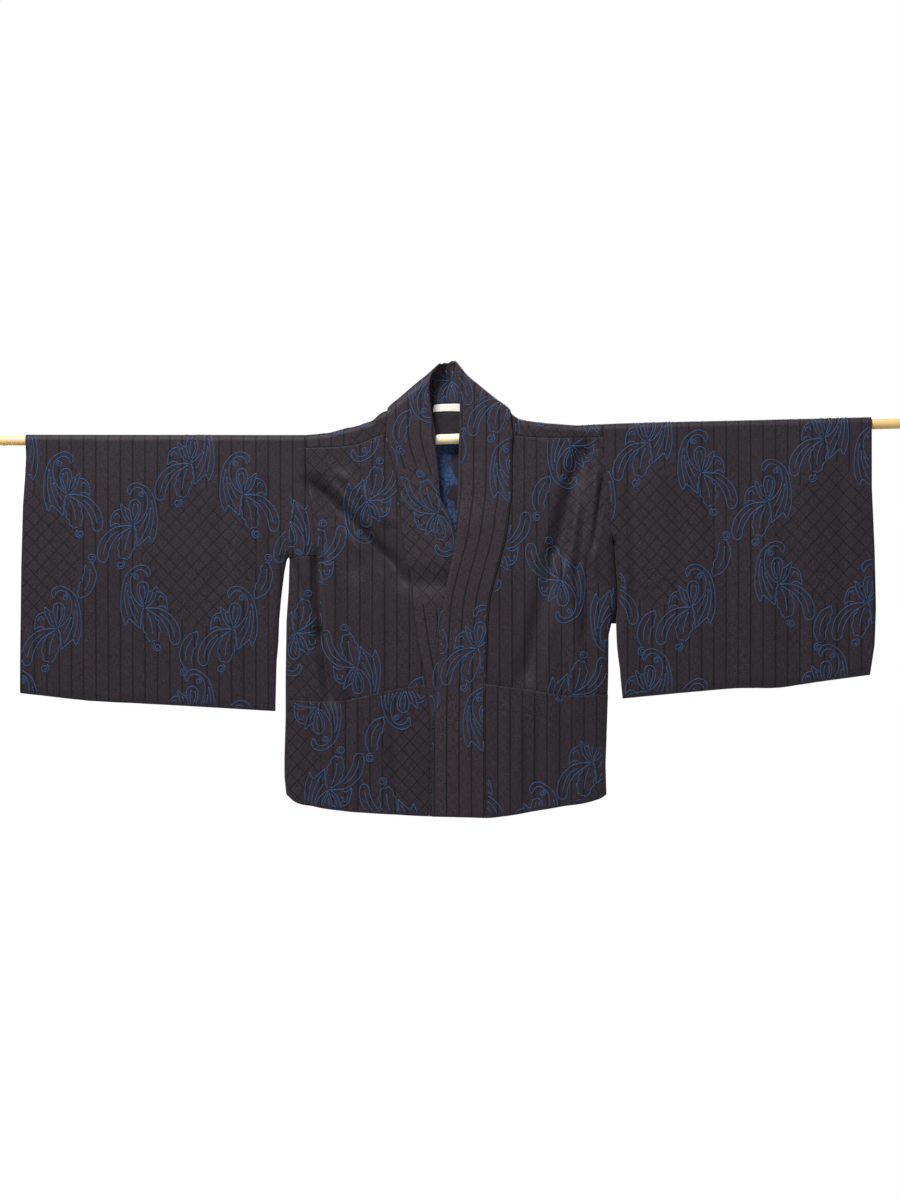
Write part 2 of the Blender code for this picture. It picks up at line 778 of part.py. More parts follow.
def pocket(front, gape):
    """A patch pocket, made from the points of the front that it lies on, moved out."""
    covered = front[-len(POCKET_ROWS) :]
    outward = normals_of(covered)
    outward = outward * -np.sign(outward[..., 1:2])
    middle = np.sin(np.pi * np.linspace(0, 1, covered.shape[1])) ** 0.7
    opened = gape * (1 - POCKET_ROWS[:, None]) ** 2 * middle
    lifted = covered + outward * (CLOTH + SEAM) + opened[..., None] * np.array([0, -1, 0])
    return lifted[:, :-1]


def neck_label():
    """A small label on the inside of the band at the back of the neck."""
    middle = (len(NECK.sewn_x) - 1) / 2
    outward = np.array([0, -BAND / 2 - SEAM - LABEL / 2, 0])
    return neck_band(middle + LABEL_SECTIONS[:, None], LABEL_PLACES) + outward


def make_rod(collection):
    """A bamboo rod with a slight bend, a slight taper and a ring where a branch grew."""
    x = np.sort(np.concatenate([np.linspace(ROD.x[0], ROD.x[-1], 15), ROD_NODE.x]))
    swell = np.interp(x, ROD_NODE.x, ROD_NODE.swell)
    shape = bpy.data.curves.new("rod", "CURVE")
    shape.dimensions = "3D"
    shape.bevel_depth = MM
    shape.bevel_resolution = 4
    shape.use_fill_caps = True
    line = shape.splines.new("POLY")
    line.points.add(len(x) - 1)
    for point, at, radius in zip(line.points, x, rod_radius(x) + swell):
        point.co = (at * MM, 0, float(rod_height(at)) * MM, 1)
        point.radius = radius
    shape.materials.append(material("rod", BAMBOO))
    collection.objects.link(bpy.data.objects.new("rod", shape))


def main():
    for old in list(bpy.data.objects):
        bpy.data.objects.remove(old)
    collection = bpy.data.collections.new("kimono_on_rod")
    bpy.context.scene.collection.children.link(collection)
    make_rod(collection)
    left, right = front_left(), front_right()
    sheets = {
        "back": back_panel(),
        "front_left": left,
        "front_right": right,
        "sleeve_left": sleeve_left(),
        "sleeve_right": sleeve_right(),
    }
    for name, sheet in sheets.items():
        wall(collection, name, sheet, CLOTH, DARK_CLOTH)
    pockets = {
        "pocket_left": pocket(left[0], MOUTH_GAPE_LEFT),
        "pocket_right": pocket(right[0], MOUTH_GAPE_RIGHT),
    }
    for name, points in pockets.items():
        wall(collection, name, (points, numbered(points)), CLOTH, POCKET_CLOTH)
    band = band_sheet(-left[0][:, 0, 2], -right[0][:, 0, 2])
    wall(collection, "collar_band", band, BAND, BAND_CLOTH)
    label = neck_label()
    wall(collection, "neck_label", (label, numbered(label)), LABEL, CREAM_TAPE)


main()
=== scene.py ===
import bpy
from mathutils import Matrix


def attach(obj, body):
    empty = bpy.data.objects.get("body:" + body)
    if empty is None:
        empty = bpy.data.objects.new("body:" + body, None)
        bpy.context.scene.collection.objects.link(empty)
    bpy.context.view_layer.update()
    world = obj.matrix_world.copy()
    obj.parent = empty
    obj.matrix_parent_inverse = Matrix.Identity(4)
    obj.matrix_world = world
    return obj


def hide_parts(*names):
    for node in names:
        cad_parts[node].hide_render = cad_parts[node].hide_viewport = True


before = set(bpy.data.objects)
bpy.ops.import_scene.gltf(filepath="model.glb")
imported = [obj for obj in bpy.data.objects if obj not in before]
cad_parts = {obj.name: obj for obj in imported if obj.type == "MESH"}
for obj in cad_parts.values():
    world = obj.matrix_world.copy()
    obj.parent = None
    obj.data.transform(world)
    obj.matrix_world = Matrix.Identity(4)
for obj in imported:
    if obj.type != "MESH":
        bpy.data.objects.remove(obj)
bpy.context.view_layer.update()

# A short kimono jacket hung flat on a bamboo rod, in a plain pale room.
# The tables hold millimetres. In them x runs to the viewer's right, z runs up from the origin and
# down runs down from it. Left and right are the viewer's.

from types import SimpleNamespace

import bpy
import numpy as np

MM = 0.001
# Thicknesses and gaps.
CLOTH = 1.3
BAND = 3.4
LABEL = 1.0
SEAM = 0.4
SIDE_SEAM = 0.6
EASE = 0.9
ROUNDING = 16.0
# Into how many steps the rows and columns of the tables are parted.
ROW_STEPS = 8
FRONT_STEPS = 5
SLEEVE_STEPS = 6
EDGE_STEPS = 2
ARC_STEPS = 14
# How the collar band lies: in front of the fronts, lapped, and behind and before the neck.
BAND_PROUD = 0.7
BAND_LAP = 4.6
BAND_BACK_Y = 11.8
BAND_FRONT_Y = -13.0
BAND_CREASE = 5.0
NECK_BLEND = 50.0
# How far apart two points are from which a surface's slope is taken.
NEAR = 0.5


def table(names, *rows):
    """A table whose columns have these names, one row for each section."""
    return SimpleNamespace(**dict(zip(names.split(), np.array(rows, float).T)))


ROD = table(
    "x z radius",
    (-780, -2.5, 7.9),
    (-400, -3.0, 8.0),
    (-240, -3.3, 8.2),
    (0, 0.0, 8.5),
    (130, 7.0, 8.7),
    (252, 13.8, 8.9),
    (500, 20.5, 9.1),
    (780, 27.4, 9.4),
)
ROD_NODE = table("x swell", (-745, 0), (-740, 0), (-737, 0.7), (-734, 0), (-729, 0))

# Where the shoulders and the back of the neck stand higher than the rod.
SHOULDER = table(
    "x z",
    (-240, -5.0),
    (-212, -1.7),
    (-199, 0.0),
    (-173, 6.5),
    (-146, 13.0),
    (-133, 17.5),
    (-123, 22.0),
    (-115, 30.0),
    (-104, 36.0),
    (-86, 35.5),
    (-60, 39.0),
    (-30, 43.0),
    (0, 45.0),
    (30, 44.0),
    (60, 40.5),
    (88, 36.0),
    (104, 33.5),
    (112, 26.5),
    (120, 22.0),
    (133, 19.8),
    (153, 16.6),
    (179, 14.7),
    (199, 13.0),
    (240, 11.0),
)

# How far the cloth hangs out from its turn over the rod.
HANG = table(
    "down body_front body_back sleeve_front sleeve_back",
    (0, 0.0, 0.0, 0.0, 0.0),
    (60, 2.0, 0.5, 0.5, 0.0),
    (200, 7.0, 2.0, 0.5, -1.0),
    (350, 9.0, 2.0, -1.5, -3.0),
    (450, 8.0, 1.0, -4.5, -5.0),
    (630, 3.0, -1.0, -4.5, -5.0),
)
BODY_BEGINS = table("x share", (-330, 0), (-190, 1), (205, 1), (350, 0))

# The armholes, and under each of them the body's side and the sleeve's inner edge, which are
# closed. Under the left armhole the seam turns out sideways to where the sleeve and body part.
ARMHOLE_LEFT = [(-15, -236), (35, -236), (80, -231), (118, -225), (170, -221), (193.3, -218)]
ARMHOLE_RIGHT = [(-35, 257), (30, 257), (76, 264), (149, 268)]
STEP_LEFT = table("x down", (-263, 196.6), (-218, 193.3))
BODY_LEFT = [
    (196.6, -263),
    (201, -262.5),
    (250, -264),
    (300, -267.5),
    (395, -269),
    (460, -269),
    (530, -271),
    (560, -271),
    (588, -268),
]
BODY_RIGHT = [
    (171, 274),
    (246, 279.5),
    (277, 278.6),
    (300, 272),
    (325, 266),
    (395, 265.4),
    (433, 264),
    (500, 262),
    (540, 260.6),
    (588, 262),
]
SLEEVE_INNER_LEFT = [
    (196.2, -264.8),
    (200, -268),
    (221, -272),
    (261, -277),
    (300, -280.5),
    (340, -282),
    (370, -285),
    (452, -287),
]
SLEEVE_INNER_RIGHT = [
    (171, 276.2),
    (246, 281.7),
    (277, 281),
    (300, 279),
    (340, 280.5),
    (360, 282.5),
    (380, 285.5),
    (400, 287),
    (433, 290.5),
]
GUIDE_LEFT = [(193.3, -218), (320, -214), (460, -212), (600, -210)]


def moved(rows, down, x):
    return [(row_down + down, row_x + x) for row_down, row_x in rows]


CLOSED_LEFT = table("down x", *BODY_LEFT)
CLOSED_RIGHT = table("down x", *BODY_RIGHT)
SIDE_RIGHT = table("down x", *ARMHOLE_RIGHT, *BODY_RIGHT)
BODY_GUIDE_LEFT = table("down x", *ARMHOLE_LEFT, *GUIDE_LEFT[1:])
SLEEVE_ARMHOLE_LEFT = table("down x", *moved(ARMHOLE_LEFT, -SEAM, -SEAM))
INNER_LEFT = table("down x", (-15, -262), *SLEEVE_INNER_LEFT)
INNER_RIGHT = table("down x", *moved(ARMHOLE_RIGHT, 0, SEAM), *SLEEVE_INNER_RIGHT)
CUFF_LEFT = table(
    "down x",
    (-12, -701),
    (30, -699),
    (60, -700.5),
    (110, -704),
    (210, -707),
    (430, -710),
)
CUFF_RIGHT = table(
    "down x",
    (-40, 702),
    (80, 702),
    (190, 707),
    (280, 709),
    (340, 707),
    (380, 701),
    (400, 699),
)
BOTTOM_LEFT = table("x down", (-711, 421), (-594, 434), (-478, 440), (-287, 451))
BOTTOM_RIGHT = table(
    "x down",
    (290, 430),
    (407, 419),
    (480, 413),
    (553, 412),
    (604, 404),
    (699, 391),
)

SHOULDER_SEAM_LEFT = table("x down", (-236, 15), (-171, 12), (-143, 7), (-120, -3), (-103, -8))
SHOULDER_SEAM_RIGHT = table("x down", (107, -5), (154, -2), (232, -3), (258, -3))
POCKET_MOUTH = table(
    "x down",
    (-272, 433),
    (-168, 433),
    (-101, 417),
    (-33, 407),
    (61, 405),
    (91, 410),
    (151, 418),
    (183, 424),
    (266, 423),
)
HEM = table(
    "x down",
    (-268, 588),
    (-259, 597),
    (-221, 609),
    (-166, 617),
    (-110, 621),
    (-36, 625),
    (38, 627),
    (61, 628),
    (111, 622),
    (186, 609),
    (242, 599),
    (255, 594),
    (262, 588),
)

# The two front lengths of the collar band, from the neck to the hem.
BAND_LEFT = table(
    "down sewn_x free_x",
    (-5, -102.9, -20.8),
    (18, -98, -19.5),
    (43, -90, -17.5),
    (68, -83, -15),
    (101, -79.7, -11),
    (125, -78, 3),
    (151, -76.4, 12),
    (194, -69.7, 20),
    (229, -61.4, 28),
    (282, -56.4, 33),
    (350, -46.5, 43),
    (400, -36.5, 52),
    (433, -32.2, 56),
    (627, -31.5, 57),
)
BAND_RIGHT = table(
    "down sewn_x free_x",
    (-5, 107.2, 18.4),
    (22, 106.2, 17.5),
    (51, 106, 17),
    (95, 105, 15.8),
    (125, 101, 14.5),
    (168, 94.6, 11),
    (186, 90, 9.5),
    (226, 79, 1),
    (267, 69.5, -6.6),
    (300, 66.4, -11.6),
    (365, 63.5, -16),
    (417, 62, -20),
    (511, 61.4, -24),
    (627, 61.4, -26.6),
)
BAND_LAP_BEGINS = table("down share", (90, 0), (150, 1))

# The band round the neck. Each section goes from the sewn edge to the turn, which is the
# collar's outline from the front, and from the turn down in front to the free edge.
NECK = table(
    "sewn_x sewn_z turn_x turn_z free_x free_z",
    (-102.9, 7.7, -102.9, 7.7, -20.8, 7.7),
    (-101.7, 27, -101.7, 27, -24, 28),
    (-99.6, 49.5, -99.6, 49.5, -28, 50),
    (-87.5, 40, -79, 68.5, -30.5, 71),
    (-65, 39.6, -54, 90, -30.5, 90),
    (-43, 42.2, -33, 107, -27, 105),
    (-22, 44.8, -12.5, 125, -12.5, 125),
    (0, 46, 0, 127.5, 0, 127.5),
    (22, 45.4, 11.5, 129, 11.5, 129),
    (43, 43.4, 31, 106, 12.5, 105),
    (65, 40.9, 53, 87.5, 18.3, 90),
    (88.5, 40, 77, 68, 19.4, 71),
    (102.6, 48, 102.6, 48, 19.4, 50),
    (105.5, 26, 105.5, 26, 19, 26),
    (107.2, 5, 107.2, 5, 18.4, 5),
)
# The sections between which the band is folded, and those where its free edge is the top.
FIRST_TURN, LAST_TURN = 2, 12
OPEN_FROM, OPEN_TO = 6, 8
NECK_ROUNDING = 12.0
# The crease down the inside of the collar's back.
CREASE_X, CREASE_WIDTH = 3, 10
CREASE_FROM, CREASE_TO = 60, 100
# The label: sections counted from the middle of the back, and how far up the band it lies.
LABEL_SECTIONS = np.linspace(-1.15, 0.98, 31)
LABEL_PLACES = np.linspace(-0.99, -0.84, 11)

# The largest folds: each runs from one place to another, and height is how far it stands out.
FRONT_FOLDS = table(
    "from_x from_down to_x to_down half_width height",
    (-221, 200, -200, 418, 14, -5.5),
    (-200, 195, -172, 428, 22, 6.0),
    (-240, 430, -246, 588, 18, 3.0),
    (-190, 80, -140, 190, 20, 3.5),
    (-110, 150, -78, 245, 18, -3.0),
    (-120, 270, -112, 610, 28, 3.5),
    (233, 25, 214, 225, 16, -4.0),
    (246, 60, 240, 225, 12, 3.0),
    (213, 215, 237, 390, 14, -4.5),
    (192, 200, 212, 400, 20, 5.0),
    (160, 230, 172, 600, 22, 4.0),
    (125, 420, 136, 620, 18, -3.0),
    (98, 440, 100, 625, 16, 3.0),
    (-330, 30, -362, 430, 34, 3.0),
    (-432, 60, -440, 425, 30, -2.0),
    (-560, 20, -592, 420, 38, 2.5),
    (345, 40, 372, 400, 34, 3.0),
    (450, 60, 470, 400, 30, -2.0),
    (590, 10, 612, 390, 38, 2.5),
)
BACK_FOLDS = table(
    "from_x from_down to_x to_down half_width height",
    (-205, 190, -182, 600, 26, 5.0),
    (-130, 60, -112, 610, 34, 4.0),
    (-20, 120, -6, 610, 40, -2.0),
    (92, 60, 82, 610, 36, 4.0),
    (196, 160, 206, 600, 26, 4.0),
    (-380, 30, -350, 420, 34, 2.0),
    (-550, 40, -560, 420, 38, 2.5),
    (400, 30, 380, 400, 34, 2.0),
    (560, 40, 575, 380, 38, 2.5),
)
# Smaller creases, where the photograph shows them.
FRONT_CREASES = table(
    "from_x from_down to_x to_down half_width height",
    (-222, 72, -97, 206, 31, -8.0),
    (-222, 72, -54, 252, 33, -8.0),
    (-176, 56, -100, 140, 24, 5.0),
    (-218, 190, -212, 345, 13, -10.5),
    (-256, 206, -222, 300, 9, -5.5),
    (-212, 312, -190, 440, 20, -8.5),
    (-240, 220, -236, 420, 8, 2.0),
    (-236, 30, -226, 190, 6, -2.5),
    (-150, 230, -142, 400, 22, 5.0),
    (-104, 250, -96, 400, 10, -1.5),
    (226, 12, 176, 196, 27, -13.0),
    (176, 190, 128, 400, 27, -10.5),
    (214, 70, 206, 210, 14, 3.0),
    (256, 66, 240, 182, 9, -6.5),
    (110, -4, 122, 60, 6, -2.0),
    (232, 190, 226, 330, 9, -6.0),
    (196, 300, 202, 410, 8, -2.0),
    (112, 250, 116, 400, 9, -1.5),
    (-150, 430, -160, 610, 16, 3.0),
    (-92, 440, -84, 615, 14, -3.0),
    (122, 440, 114, 610, 15, 4.0),
    (154, 440, 150, 600, 17, -4.5),
    (206, 440, 214, 590, 14, 3.0),
    (-300, 60, -296, 300, 14, -3.0),
    (-390, 10, -402, 240, 22, 2.5),
    (-500, 30, -508, 430, 26, 2.5),
    (-640, 120, -650, 430, 20, -2.5),
    (-673, -8, -684, 440, 2.5, 0.7),
    (300, 30, 312, 300, 14, -2.5),
    (400, 180, 408, 410, 22, 2.5),
    (520, 30, 534, 390, 26, 2.2),
    (650, 60, 660, 380, 20, -2.2),
    (676, -30, 676, 385, 2.5, 0.7),
    (-600, 300, -560, 430, 30, -3.0),
    (-340, 290, -330, 440, 18, -2.5),
    (420, 20, 440, 170, 18, -2.5),
    (560, 230, 585, 400, 24, -3.0),
)
# Long shallow waves over all the cloth, so that no panel lies quite flat.
WAVES = table(
    "right down lift phase",
    (0.021, 0.009, 0.5, 0.4),
    (-0.013, 0.024, 0.4, 2.1),
    (0.047, -0.011, 0.25, 4.0),
    (0.008, 0.052, 0.2, 1.2),
)
MOUTH_GAPE_LEFT = 1.2
MOUTH_GAPE_RIGHT = 4.5


def smooth(at, xs, ys):
    """A smooth curve through a table's points: cubic pieces with their neighbours' slopes."""
    slopes = np.gradient(ys, xs)
    at = np.clip(at, xs[0], xs[-1])
    piece = np.clip(np.searchsorted(xs, at) - 1, 0, len(xs) - 2)
    step = xs[piece + 1] - xs[piece]
    t = (at - xs[piece]) / step
    value = (1 + 2 * t) * (1 - t) ** 2 * ys[piece] + t * t * (3 - 2 * t) * ys[piece + 1]
    return value + t * (1 - t) * step * ((1 - t) * slopes[piece] - t * slopes[piece + 1])


def mix(first, second, share):
    return first + (second - first) * share


def finer(values, steps):
    """A table with its rows parted into this many steps each."""
    shares = (np.arange(steps) / steps).reshape((-1,) + (1,) * (values.ndim - 1))
    added = mix(values[:-1, None], values[1:, None], shares)
    return np.concatenate([added.reshape((-1,) + values.shape[1:]), values[-1:]])


def ease(share):
    share = np.clip(share, 0, 1)
    return share * share * (3 - 2 * share)


def rod_height(x):
    return smooth(x, ROD.x, ROD.z)


def rod_radius(x):
    return smooth(x, ROD.x, ROD.radius)


def ridge_height(x):
    """The height of the middle of the cloth's turn over the rod."""
    on_body = np.abs(x) <= SHOULDER.x[-1]
    shoulder = smooth(x, SHOULDER.x, SHOULDER.z)
    return np.where(on_body, np.maximum(rod_height(x), shoulder), rod_height(x))


def turn_radius(x):
    return rod_radius(x) + EASE + CLOTH / 2


def fold_height(x, down, folds):
    """How far the folds lift the cloth: across a fold a raised cosine, fading at both its ends."""
    x, down = np.broadcast_arrays(x, down)
    lift = np.zeros(x.shape)
    for from_x, from_down, to_x, to_down, half_width, height in zip(*vars(folds).values()):
        share = (down - from_down) / (to_down - from_down)
        across = (x - mix(from_x, to_x, np.clip(share, 0, 1))) / half_width
        inside = np.abs(across) < 1
        fade = ease(share / 0.25 + 0.5) * ease((1 - share) / 0.25 + 0.5)
        lift = lift + inside * height * fade * (0.5 + 0.5 * np.cos(np.pi * np.where(inside, across, 1)))
    return lift


def waves(x, down):
    """Shallow waves: the sum of lift sin(right x + down z + phase)."""
    lift = 0
    for right, below, height, phase in zip(*vars(WAVES).values()):
        lift = lift + height * np.sin(right * x + below * down + phase)
    return lift * ease((down - 20) / 60)


def hang_of(part, down):
    return smooth(down, HANG.down, getattr(HANG, part))


def body_share(x):
    """0 on the sleeves and 1 on the body."""
    return ease(np.interp(x, BODY_BEGINS.x, BODY_BEGINS.share))


def front_y(x, down):
    """The front layer's depth."""
    share = body_share(x)
    hang = mix(hang_of("sleeve_front", down), hang_of("body_front", down), share)
    folds = fold_height(x, down, FRONT_FOLDS) + fold_height(x, down, FRONT_CREASES)
    return -turn_radius(x) - hang - folds - waves(x, down)


def back_y(x, down):
    """The back layer's depth."""
    share = body_share(x)
    hang = mix(hang_of("sleeve_back", down), hang_of("body_back", down), share)
    return turn_radius(x) + hang + fold_height(x, down, BACK_FOLDS) + waves(x + 400, down)


def distance_to(line, x, down):
    """How far each point is from a line through the table's points."""
    points = np.stack(np.broadcast_arrays(x, down), -1)[..., None, :]
    starts = np.stack([line.x, line.down], -1)[:-1]
    steps = np.diff(np.stack([line.x, line.down], -1), axis=0)
    share = ((points - starts) * steps).sum(-1) / (steps * steps).sum(-1)
    nearest = starts + steps * np.clip(share, 0, 1)[..., None]
    return np.sqrt(((points - nearest) ** 2).sum(-1)).min(-1)


def rounded(distance, radius):
    """0 on a closed edge and 1 from this far away, along a quarter of a circle."""
    return np.sqrt(1 - (1 - np.clip(distance / radius, 0, 1)) ** 2)


def middle_y(x, down):
    """The depth of the closed edges, halfway between the layers without their folds."""
    share = body_share(x)
    front = mix(hang_of("sleeve_front", down), hang_of("body_front", down), share)
    back = mix(hang_of("sleeve_back", down), hang_of("body_back", down), share)
    return 0.5 * (back - front)


def closed_layer(x, down, closures, layer_y, gap):
    """A layer's depth where it comes round to the other layer along its closed edges."""
    distance = np.min([distance_to(line, x, down) for line in closures], axis=0)
    return mix(middle_y(x, down) + gap, layer_y(x, down), rounded(distance, ROUNDING))


def along_line(line, edge, across):
    """How far down a line lies, at each share of the way across."""
    down = np.full(np.shape(across), line.down[0])
    for _ in range(8):
        down = smooth(edge(down, across), line.x, line.down)
    return down


def between(*lines):
    """Where a column lies: across is 0 on the first line, 1 on the second and 2 on the third."""

    def place(down, across):
        x = [line(down) for line in lines]
        at = mix(x[0], x[1], np.clip(across, 0, 1))
        if len(lines) == 3:
            at = at + (x[2] - x[1]) * np.clip(across - 1, 0, 1)
        return at

    return place


def x_at(line, down):
    """How far right a line is, this far down."""
    return np.interp(down, line.down, line.x)


def down_at(line, x):
    """How far down a line is at x."""
    return np.interp(x, line.x, line.down)


def sewn_edge(band, down):
    return smooth(down, band.down, band.sewn_x)


def free_edge(band, down):
    return smooth(down, band.down, band.free_x)


def straight(edge):
    return lambda down: x_at(edge, down)


def band_seam(band, shift):
    return lambda down: sewn_edge(band, down) + shift


def panel_point(x, down, y):
    return np.stack(np.broadcast_arrays(x, y, -down), -1)


def row_shares(rows, top, bottom):
    return (np.array(rows, float) - top) / (bottom - top)


# The rows that all the pieces share at their armhole and side seams, down each side.
SIDE_ROWS = table(
    "left right",
    (35, 30),
    (80, 76),
    (118, 112),
    (145, 149),
    (170, 160),
    (184, 167),
    (193.3, 171),
    (221, 205),
    (250, 246),
    (300, 277),
    (345, 300),
    (395, 345),
)
ARMHOLE_ROWS = 7
POCKET_ROWS = np.array([0, 0.12, 0.35, 0.65, 1])
FRONT_COLUMNS = np.array([0, 0.12, 0.24, 0.35, 0.45, 0.54, 0.62, 0.7, 0.78, 0.85, 0.92])
SIDE_PANEL_COLUMNS = np.array([1, 1.25, 1.45, 1.62, 1.77, 1.89, 1.965, 2])
RIGHT_SIDE_COLUMNS = np.array([0.955, 0.98, 0.994, 1])


def front_points(seam, edges, across, side_rows):
    """Points of a front: rows from its shoulder seam to the hem, columns from the band to the side."""
    place = between(*edges)
    outer = max(across.max(), 1)
    top = along_line(seam, place, np.minimum(across, 1)) + SEAM / 2
    mouth = along_line(POCKET_MOUTH, place, across)
    hem = along_line(HEM, place, across)
    at_guide = np.searchsorted(across, 1)
    shares = row_shares(side_rows, top[at_guide], mouth[at_guide])[:, None]
    below = row_shares(side_rows, side_rows[ARMHOLE_ROWS - 1], mouth[at_guide])[:, None]
    down = mix(top, mouth, shares)
    if outer > 1:
        step = mix(STEP_LEFT.down[1], STEP_LEFT.down[0], np.clip(across - 1, 0, 1))
        down = np.where(across > 1, mix(step, mouth, below), down)
    pocket = mix(mouth, hem, POCKET_ROWS[:, None])
    down = finer(np.concatenate([[top], down, pocket]), ROW_STEPS)
    x = place(down, across)
    closure = CLOSED_LEFT if outer > 1 else CLOSED_RIGHT
    return panel_point(x, down, closed_layer(x, down, [closure], front_y, -SIDE_SEAM / 2))


def numbered(points):
    return np.arange(points.shape[0] * points.shape[1]).reshape(points.shape[:2])


def front_left():
    edges = (band_seam(BAND_LEFT, -SEAM / 2), straight(BODY_GUIDE_LEFT), straight(CLOSED_LEFT))
    across = finer(np.concatenate([FRONT_COLUMNS, SIDE_PANEL_COLUMNS]), FRONT_STEPS)
    points = front_points(SHOULDER_SEAM_LEFT, edges, across, SIDE_ROWS.left)
    ids = numbered(points)
    ids[: ARMHOLE_ROWS * ROW_STEPS, across > 1] = -1
    return points, ids


def front_right():
    edges = (band_seam(BAND_RIGHT, SEAM / 2), straight(SIDE_RIGHT))
    across = finer(np.concatenate([FRONT_COLUMNS, RIGHT_SIDE_COLUMNS]), FRONT_STEPS)
    points = front_points(SHOULDER_SEAM_RIGHT, edges, across, SIDE_ROWS.right)
    return points, numbered(points)


# How much of the way over the shoulder the back panel reaches, next to the neck.
NECKLINE = table(
    "x share",
    (-103.5, 1),
    (-101.2, 0.62),
    (-98, 0.3),
    (-93, 0),
    (96, 0),
    (100, 0.3),
    (104, 0.62),
    (107.5, 1),
)
BACK_COLUMN_X = np.unique(np.concatenate([np.arange(-206, 226, 4.5), NECKLINE.x]))
STRIP_STEPS = 5
BACK_LOWER_ROWS = np.array([470, 530])


def back_panel():
    """The back's points: a grid on the back with flaps over both shoulders."""
    place = between(straight(SIDE_RIGHT), straight(BODY_GUIDE_LEFT), straight(CLOSED_LEFT))
    right_x, left_x = SIDE_RIGHT.x[0], BODY_GUIDE_LEFT.x[0]
    inner = (right_x - BACK_COLUMN_X[::-1]) / (right_x - left_x)
    right = finer(1 - RIGHT_SIDE_COLUMNS[::-1], EDGE_STEPS)
    left = finer(SIDE_PANEL_COLUMNS, EDGE_STEPS)
    across = np.concatenate([right, inner, left])
    share = np.clip(across, 0, 1)
    hem = along_line(HEM, place, across)
    top_x = mix(right_x, left_x, share)
    top = -ridge_height(top_x)
    at_guide = np.searchsorted(across, 1)
    left_rows = np.concatenate([SIDE_ROWS.left, BACK_LOWER_ROWS])
    right_rows = np.concatenate([SIDE_ROWS.right, BACK_LOWER_ROWS])
    left_shares = row_shares(left_rows, top[at_guide], hem[at_guide])
    right_shares = row_shares(right_rows, top[0], hem[0])
    down = mix(top, hem, mix(right_shares[:, None], left_shares[:, None], share))
    below = row_shares(left_rows, SIDE_ROWS.left[ARMHOLE_ROWS - 1], hem[at_guide])[:, None]
    step = mix(STEP_LEFT.down[1], STEP_LEFT.down[0], np.clip(across - 1, 0, 1))
    down = np.where(across > 1, mix(step, hem, below), down)
    down = finer(np.concatenate([[top], down, [hem]]), ROW_STEPS)
    x = place(down, across)
    x[0] = top_x
    y = closed_layer(x, down, [CLOSED_LEFT, CLOSED_RIGHT], back_y, SIDE_SEAM / 2)
    grid = panel_point(x, down, y)[::-1]
    reach = np.interp(top_x, NECKLINE.x, NECKLINE.share)
    over = np.arange(1, ARC_STEPS + STRIP_STEPS + 1)[:, None] * reach
    angle = np.clip(over / ARC_STEPS, 0, 1) * np.pi
    radius = turn_radius(top_x)
    seam_left = smooth(top_x, SHOULDER_SEAM_LEFT.x, SHOULDER_SEAM_LEFT.down)
    seam_right = smooth(top_x, SHOULDER_SEAM_RIGHT.x, SHOULDER_SEAM_RIGHT.down)
    seam = np.where(top_x < 0, seam_left, seam_right) - SEAM / 2
    strip_down = mix(top, seam, np.clip((over - ARC_STEPS) / STRIP_STEPS, 0, 1))
    strip_down = np.where(over > ARC_STEPS, strip_down, top - radius * np.sin(angle))
    strip_y = np.where(over > ARC_STEPS, front_y(top_x, strip_down), radius * np.cos(angle))
    flap = panel_point(np.broadcast_to(top_x, strip_down.shape), strip_down, strip_y)
    points = np.concatenate([grid, flap])
    ids = numbered(points)
    ids[len(grid) :, reach == 0] = ids[len(grid) - 1, reach == 0]
    ids[len(grid) - ARMHOLE_ROWS * ROW_STEPS :, across > 1] = -1
    return points, ids


SLEEVE_COLUMNS = np.array([0, 0.07, 0.15, 0.23, 0.31, 0.39, 0.47, 0.55, 0.63, 0.71, 0.79, 0.86, 0.92])
SLEEVE_EDGE_COLUMNS = np.array([0.962, 0.984, 0.995, 1])
STEP_COLUMNS = np.array([1.05, 1.18, 1.4, 1.7, 2])
SLEEVE_BOTTOM_STEPS = np.array([0.962, 0.984, 0.9955, 1])
SLEEVE_ROWS = 10
# How far in from their edges the hems are stitched.
CUFF_STITCH, BOTTOM_STITCH, POCKET_STITCH = 27.0, 12.0, 38.0


def sleeve_closure(inner_rows, bottom):
    """The closed edges of a sleeve: down its inner edge and out along its bottom."""
    ends = sorted(zip(bottom.down, bottom.x), key=lambda row: abs(row[1]))
    return table("down x", *inner_rows, *ends)


